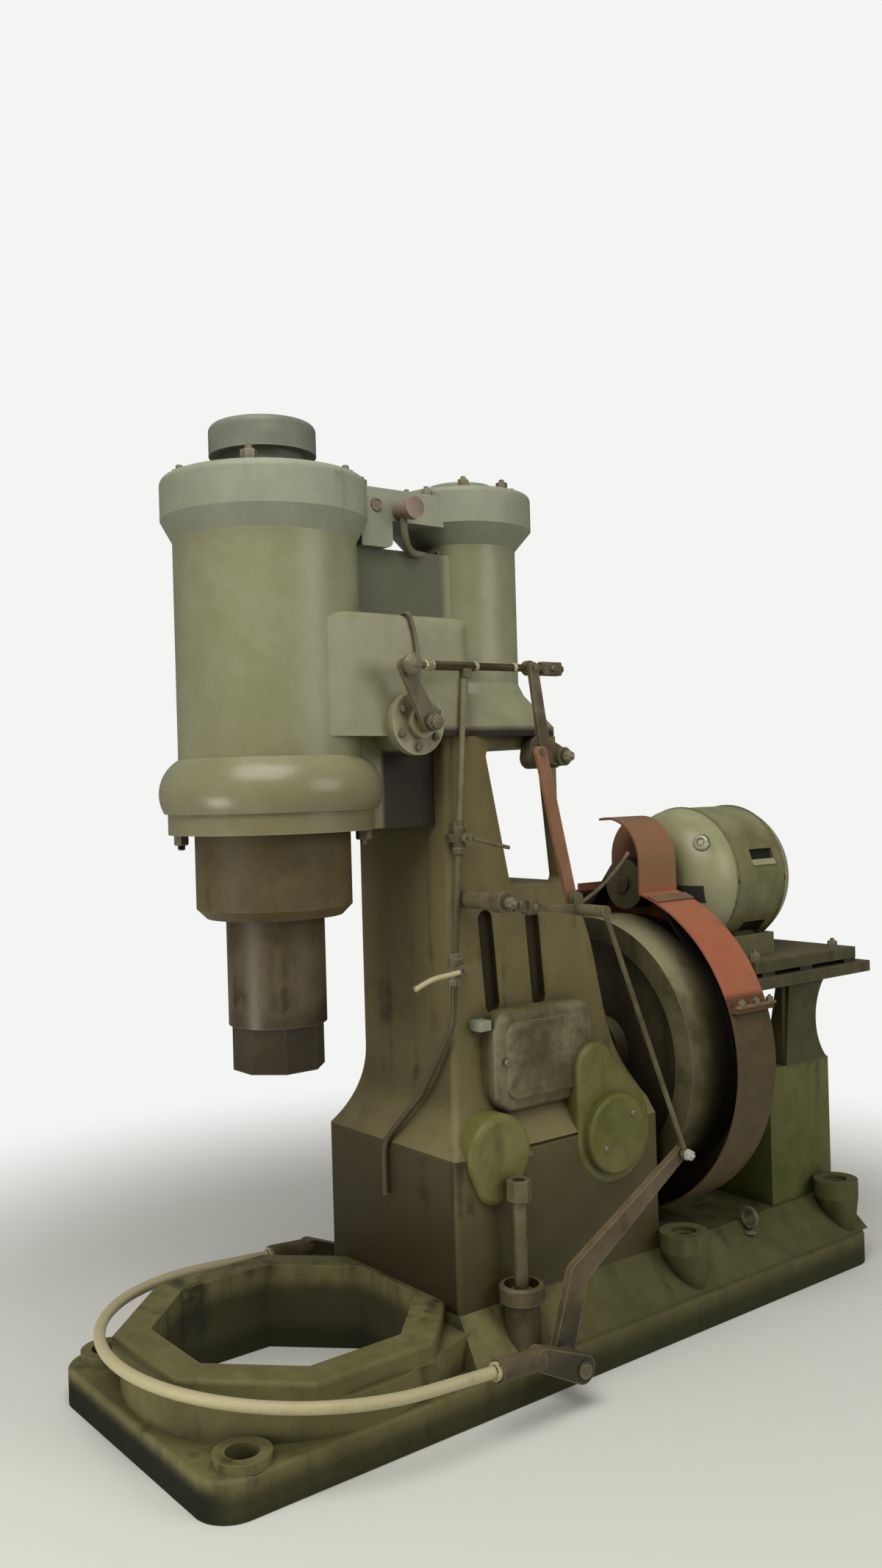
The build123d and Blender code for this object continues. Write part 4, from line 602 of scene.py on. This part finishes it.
motor_axis = Vector((0, 0, 1.183))
motor_vent_y = Vector((0, 0.895, 0))
louvre_r = 0.2195
vent_shade_r = 0.2045
seam_rings = []
for seam_y in (0.762, 0.982):
    seam = stepped("seam", 64, (0.2215, 0.001), (0.2235, 0.002), (0.2235, 0.007), (0.2215, 0.008))
    seam_rings.append(placed(seam, (0, seam_y + 0.008, motor_axis.z), (0, -1, 0)))
fitted(softened(joined("motor_seam_rings", seam_rings), 0.0004, 1), "frame", motor_finish)
plug_place = resting("motor_end_bells", (0.150, 0.55, 1.300), (0, 1, 0))
plug_lean = Vector((0.42, -0.82, 0.38)).normalized()
bell_plug = stepped("bell_plug", 32, (0.026, 0.012), (0.022, 0.016), (0.0125, 0.0175), (0.0125, 0.011),
                    (0.0105, 0.011), (0.0095, 0.015))
placed(bell_plug, plug_place - 0.007 * plug_lean, plug_lean)
fitted(softened(bell_plug, 0.001), "frame", highlit_bell_finish)
# The louvre wears the paler bell paint, a painted highlight on its lip.
louvre_angle = radians(13)
louvre = lug("vent_louvre", (-0.0015, -0.054, -0.010), (0.0025, 0.054, 0.010), 0.001)
louvre.data.transform(
    Matrix.Translation(
        motor_axis + motor_vent_y + louvre_r * Vector((cos(louvre_angle), 0, sin(louvre_angle)))
    )
    @ Matrix.Rotation(-louvre_angle - radians(16), 4, "Y")
)
fitted(louvre, "frame", highlit_bell_finish)
black_finish = casting_finish(
    "vent_dark", (0.008, 0.008, 0.006, 1), (0.004, 0.004, 0.003, 1), (0.014, 0.013, 0.01, 1),
    (0.012, 0.012, 0.01, 1), grime=0.4, dusty=0.2, rough=(0.6, 0.8), seed=101.0
)
# Painted shade: near-black plates set into the drum's two vents, standing in for the dark inside them.
for number, (angle, height) in enumerate(((20, 0.031), (-46, 0.060))):
    vent_shade_plate = lug(f"vent_shade_{number}", (-0.0015, -0.0525, -height / 2),
                (0.0015, 0.0525, height / 2), 0.0006)
    vent_shade_plate.data.transform(
        Matrix.Translation(
            motor_axis + motor_vent_y + vent_shade_r * Vector((cos(radians(angle)), 0, sin(radians(angle))))
        )
        @ Matrix.Rotation(-radians(angle), 4, "Y")
    )
    fitted(vent_shade_plate, "frame", black_finish)
for number, (x, y) in enumerate(((0.245, 0.80), (0.245, 1.19), (-0.245, 0.80), (-0.245, 1.19))):
    foot_nut = placed(twin(small_nut, f"platform_nut_{number}"), (x, y, 0.9415), (0, 0, 1), number)
    fitted(foot_nut, "frame", steel_finish)

# Belt guard: sheet steel, red primer on the upper half and bare brown paint below.
guard_red_finish = casting_finish(
    "guard_red", (0.29, 0.080, 0.036, 1), (0.12, 0.060, 0.026, 1), (0.30, 0.15, 0.075, 1),
    (0.34, 0.14, 0.075, 1), grime=0.3, dusty=0.3, grain=0.14, seed=43.0, corner=0.5, tinted=(
        ((0.18, 0.110, 0.058, 1), 0.9, (-1, 0, 1.15), (1, 1, 2), 0.06),
        ((0.075, 0.042, 0.020, 1), 1, (-1, 0, 0.5), (1, 1, 0.905), 0.02),
    )
)
wear_finish("guard_red", guard_red_finish, "belt_guard_upper")
guard_brown_finish = casting_finish(
    "guard_brown", (0.050, 0.041, 0.014, 1), (0.03, 0.022, 0.011, 1), (0.14, 0.10, 0.05, 1),
    (0.17, 0.095, 0.045, 1), grime=0.4, dusty=0.4, grain=0.2, seed=47.0
)
wear_finish("guard_brown", guard_brown_finish, "belt_guard_lower")

# Rusty clamp strips and bolts where the two halves of the guard meet, and its lapped joint.
rust_finish = casting_finish(
    "rusty_strip", (0.115, 0.062, 0.030, 1), (0.05, 0.03, 0.016, 1), (0.20, 0.14, 0.085, 1),
    (0.27, 0.17, 0.10, 1), grime=0.4, dusty=0.4, rough=(0.5, 0.7), seed=79.0
)
for side in (-1, 1):
    strip_x = side * 0.470
    strip = lug(f"guard_strip_{side + 1}", (min(strip_x, strip_x + side * 0.014), 0.430, 0.866),
                (max(strip_x, strip_x + side * 0.014), 0.591, 0.874), 0.002)
    fitted(strip, "frame", rust_finish)
clamp_nut = stud_nut(0.019, 0.011, 0.005, 0.006)
clamp_places = [(x, y, 0.8735) for x in (-0.477, 0.477) for y in (0.452, 0.511, 0.570)]
nut_row("guard_clamp_nuts", clamp_nut, clamp_places,
        (0, 0, 1), "frame", steel_finish)
lap = lug("guard_lap", (-0.002, -0.0795, -0.019), (0.002, 0.0795, 0.019), 0.0012)
lap_angle = radians(68)
guard_r = 0.4805
guard_axis_z = 0.705
lap.data.transform(
    Matrix.Translation((guard_r * cos(lap_angle), 0.5105, guard_axis_z + guard_r * sin(lap_angle)))
    @ Matrix.Rotation(-lap_angle, 4, "Y")
)
fitted(lap, "frame", rust_finish)

# Linkage, treadle, pipes, platform and belts: pale worn steel on the bar, oily rods, dark
# forgings on the pivots, a faded red link and black rubber belts.
platform_finish = casting_finish(
    "platform_steel", (0.038, 0.034, 0.011, 1), (0.018, 0.016, 0.006, 1), (0.14, 0.122, 0.058, 1),
    (0.125, 0.11, 0.05, 1), grime=0.45, dusty=0.5, seed=53.0
)
wear_finish("platform_steel", platform_finish, "motor_platform", "motor_bracket")
bar_finish = casting_finish(
    "worn_steel", (0.40, 0.35, 0.195, 1), (0.11, 0.090, 0.045, 1), (0.36, 0.32, 0.19, 1),
    (0.38, 0.35, 0.22, 1), grime=0.25, dusty=0.6, rough=(0.28, 0.45), seed=59.0
)
wear_finish("worn_steel", bar_finish, "treadle_bar")
rod_finish = casting_finish(
    "oily_rod", (0.058, 0.045, 0.015, 1), (0.030, 0.022, 0.010, 1), (0.14, 0.12, 0.06, 1),
    (0.25, 0.22, 0.13, 1), grime=0.3, dusty=0.3, rough=(0.28, 0.45), seed=60.0
)
wear_finish("oily_rod", rod_finish, "tie_rod", "oil_pipe", "hand_lever", "cock_handle")
pipe_finish = casting_finish(
    "pipe_paint", (0.125, 0.108, 0.055, 1), (0.050, 0.038, 0.017, 1), (0.27, 0.26, 0.15, 1),
    (0.33, 0.31, 0.19, 1), grime=0.15, dusty=0.4, rough=(0.3, 0.5), seed=62.0, foot_z=(1.25, 1.78)
)
wear_finish("pipe_paint", pipe_finish, "drain_pipe")
dark_finish = casting_finish(
    "dark_linkage", (0.049, 0.035, 0.012, 1), (0.020, 0.015, 0.007, 1), (0.14, 0.12, 0.065, 1),
    (0.27, 0.24, 0.15, 1), grime=0.4, dusty=0.4, rough=(0.28, 0.48), seed=61.0
)
wear_finish("dark_linkage", dark_finish, "rocker", "linkage_bearings", "valve_crank", "treadle_axle",
            "front_valve_lever", "pipe_cocks", "treadle_far_arm", "link_rod",
            "crankshaft", "motor_shaft", "oil_cup")
# The treadle lever's rubbed edges, set to full, are wear and a painted highlight along its edges.
lever_finish = casting_finish(
    "red_brown", (0.051, 0.031, 0.010, 1), (0.016, 0.018, 0.007, 1), (0.13, 0.10, 0.05, 1),
    (0.25, 0.20, 0.12, 1), grime=0.4, dusty=0.45, seed=67.0, foot_z=(0.26, 0.44), worn=1.0
)
wear_finish("red_brown", lever_finish, "treadle_lever")
red_finish = casting_finish(
    "faded_red", (0.19, 0.085, 0.042, 1), (0.085, 0.048, 0.028, 1), (0.23, 0.14, 0.085, 1),
    (0.31, 0.18, 0.11, 1), grime=0.35, dusty=0.4, seed=71.0
)
wear_finish("faded_red", red_finish, "valve_link")
valve_metal = casting_finish(
    "safety_valve_metal", (0.13, 0.088, 0.065, 1), (0.04, 0.03, 0.022, 1), (0.3, 0.22, 0.18, 1),
    (0.42, 0.30, 0.26, 1), grime=0.35, dusty=0.5, rough=(0.24, 0.42), seed=97.0
)
wear_finish("safety_valve_metal", valve_metal, "safety_valve")
belt_finish = casting_finish(
    "belt_rubber", (0.018, 0.018, 0.018, 1), (0.01, 0.01, 0.01, 1), (0.06, 0.06, 0.055, 1),
    (0.04, 0.04, 0.038, 1), grime=0.4, dusty=0.3, rough=(0.6, 0.8), seed=73.0
)
wear_finish("belt_rubber", belt_finish, "drive_belts")

# Linkage pins: nuts, collars, the knuckle at the tie rod's front end and the knob on the valve.
pin_nut = stud_nut(0.024, 0.013, 0.006, 0.007)
valve_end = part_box("linkage_bearings")[1]
valve_shaft_nut = placed(twin(pin_nut, "valve_shaft_nut"), (0.3515, -0.055, 1.562), (1, 0, 0))
fitted(valve_shaft_nut, "frame", steel_finish)
rocker_shaft_nut = placed(twin(pin_nut, "rocker_shaft_nut"), (valve_end.x - 0.0005, -0.300, 1.208), (1, 0, 0))
fitted(rocker_shaft_nut, "frame", steel_finish)
knuckle = stepped("tie_rod_knuckle", 28, (0.019, 0.003), (0.025, 0.008), (0.027, 0.014), (0.023, 0.021),
                  (0.013, 0.026), (0.010, 0.027), (0.008, 0.032))
placed(knuckle, (0.3155, -0.524, 1.784), (1, 0, 0))
fitted(softened(knuckle, 0.001), "tie_rod", dark_finish)
tie_rod_z = 1.784
tie_rod_front_y = -0.524
tie_rod_length = 0.382
tie_rod_rise = 0.004
collars = []
for y, radius, length in ((-0.462, 0.0135, 0.026), (-0.318, 0.0125, 0.012), (-0.190, 0.012, 0.010)):
    collar = stepped("collar", 24, (radius * 0.86, 0.002), (radius, 0.004), (radius, length - 0.002),
                     (radius * 0.86, length))
    height = tie_rod_z + (y - tie_rod_front_y) / tie_rod_length * tie_rod_rise
    collars.append(placed(collar, (0.308, y - length / 2, height), (0, 1, 0)))
fitted(softened(joined("tie_rod_collars", collars), 0.0006, 1), "tie_rod", bar_finish)
sleeve = stepped("tie_rod_sleeve", 28, (0.0095, 0.001), (0.0115, 0.003), (0.0115, 0.148), (0.0096, 0.150),
                 (0.0096, 0.353), (0.0085, 0.355))
placed(sleeve, (0.308, -0.466, 1.7846), (0, 1, 0.0105))
fitted(softened(sleeve, 0.0005), "tie_rod", rod_finish)
tie_clevis = lug("tie_rod_clevis", (0.2955, -0.102, 1.7705), (0.3205, -0.036, 1.8055), 0.006)
clevis_screw = stepped("clevis_screw", 16, (0.009, 0.004), (0.007, 0.009), (0.003, 0.009), (0.0025, 0.006))
placed(clevis_screw, (0.3215, -0.070, 1.788), (1, 0, 0))
fitted(softened(joined("tie_rod_clevis", [tie_clevis, clevis_screw]), 0.0006, 1), "tie_rod",
       dark_finish)
tie_clip = lug("tie_rod_clip", (0.298, -0.362, 1.757), (0.318, -0.336, 1.781), 0.004)
fitted(tie_clip, "tie_rod", dark_finish)
valve_knob = stepped("valve_knob", 24, (0.015, 0.004), (0.020, 0.009), (0.021, 0.018), (0.018, 0.025),
                     (0.010, 0.029))
placed(valve_knob, (0.2992, -0.450, 1.650), (1, 0, 0))
fitted(softened(valve_knob, 0.001), "front_valve_lever", dark_finish)
valve_bolt = stud_nut(0.017, 0.010, 0.005, 0.004)
valve_y, valve_z = -0.450, 1.650
valve_bolt_circle_r = 0.060
valve_bolts = [
    (0.2475, valve_y + valve_bolt_circle_r * cos(radians(a)), valve_z + valve_bolt_circle_r * sin(radians(a)))
    for a in (26, 86, 146, 206, 266, 326)
]
nut_row("front_valve_bolts", valve_bolt, valve_bolts, (1, 0, 0), "frame", steel_finish)

# Round grips of the cocks' two handles: plain steel, the long one worn pale by hands.
long_grip = rod("hand_lever_grip", 0.0065, (0.268, -0.3620, 1.0350), (0.268, -0.4050, 1.0310),
                (0.268, -0.4420, 1.0285), (0.268, -0.4800, 1.0160), (0.268, -0.4990, 1.0080))
fitted(long_grip, "hand_lever", bar_finish)
short_grip = rod("cock_handle_grip", 0.0052, (0.267, -0.3020, 1.3600), (0.267, -0.2600, 1.3502),
                 (0.267, -0.2200, 1.3409), (0.267, -0.1880, 1.3335))
fitted(short_grip, "cock_handle", rod_finish)

# Clamps and bolts on the rocker, and the cotter pin through the rod's upper pin.
clamps = []
for y, z in ((-0.252, 1.200), (-0.205, 1.189)):
    clamps.append(lug("clamp", (0.341, y - 0.015, z - 0.019), (0.374, y + 0.015, z + 0.019), 0.004))
    clamps.append(placed(twin(valve_bolt, "clamp_bolt"), (0.374, y, z), (1, 0, 0)))
fitted(joined("rocker_clamps", clamps), "rocker", dark_finish)
pin_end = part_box("rocker")[1].x
cotter = rod("rocker_cotter", 0.0022, (pin_end - 0.008, -0.062, 1.186), (pin_end - 0.008, -0.043, 1.170),
             (pin_end - 0.008, -0.022, 1.152), (pin_end - 0.006, -0.012, 1.150))
fitted(cotter, "rocker", steel_finish)

# Treadle fittings: a bright nut on the rod's pin, the axle nut and the collar at each socket.
rod_pin_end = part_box("link_rod")[1].x
bright_finish = casting_finish(
    "rubbed_steel", (0.36, 0.35, 0.29, 1), (0.13, 0.11, 0.07, 1), (0.4, 0.37, 0.28, 1),
    (0.55, 0.54, 0.48, 1), grime=0.3, dusty=0.3, rough=(0.22, 0.38), seed=83.0
)
lever_nut = placed(twin(pin_nut, "lever_pin_nut"), (rod_pin_end - 0.0105, 0.232, 0.510), (1, 0, 0))
fitted(lever_nut, "link_rod", bright_finish)
axle_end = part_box("treadle_axle")[1].x
axle_nut = stepped("axle_nut", 24, (0.021, 0.004), (0.018, 0.006), (0.011, 0.0065), (0.010, 0.003))
placed(axle_nut, (axle_end - 0.0066, -0.215, 0.096), (1, 0, 0))
fitted(softened(axle_nut, 0.001), "frame", dark_finish)

mouths = []
for side in (-1, 1):
    mouth = stepped("mouth", 28, (0.0215, 0.003), (0.0195, 0.004), (0.0195, 0.006), (0.0215, 0.007),
                    (0.0215, 0.009), (0.018, 0.011), (0.017, 0.014))
    mouths.append(placed(mouth, (side * 0.5, -0.4695, 0.1628), (0, -1, 0.07)))
fitted(softened(joined("bar_mouths", mouths), 0.0005, 1), "treadle", bar_finish)

# Pipe unions above and below each cock: hexagon nuts on the leaning pipe.
unions = []
for z, y in ((1.364, -0.3212), (1.037, -0.345725)):
    for side in (-1, 1):
        union = stepped("union", 6, (0.0165, 0.014), (0.014, 0.017))
        unions.append(placed(union, (0.230, y + side * 0.002, z + side * 0.0255), (0, 0.075 * side, side)))
fitted(softened(joined("pipe_unions", unions), 0.0008, 1), "frame", dark_finish)
for pattern in (head_nut, small_nut, clamp_nut, pin_nut, valve_bolt):
    bpy.data.objects.remove(pattern)
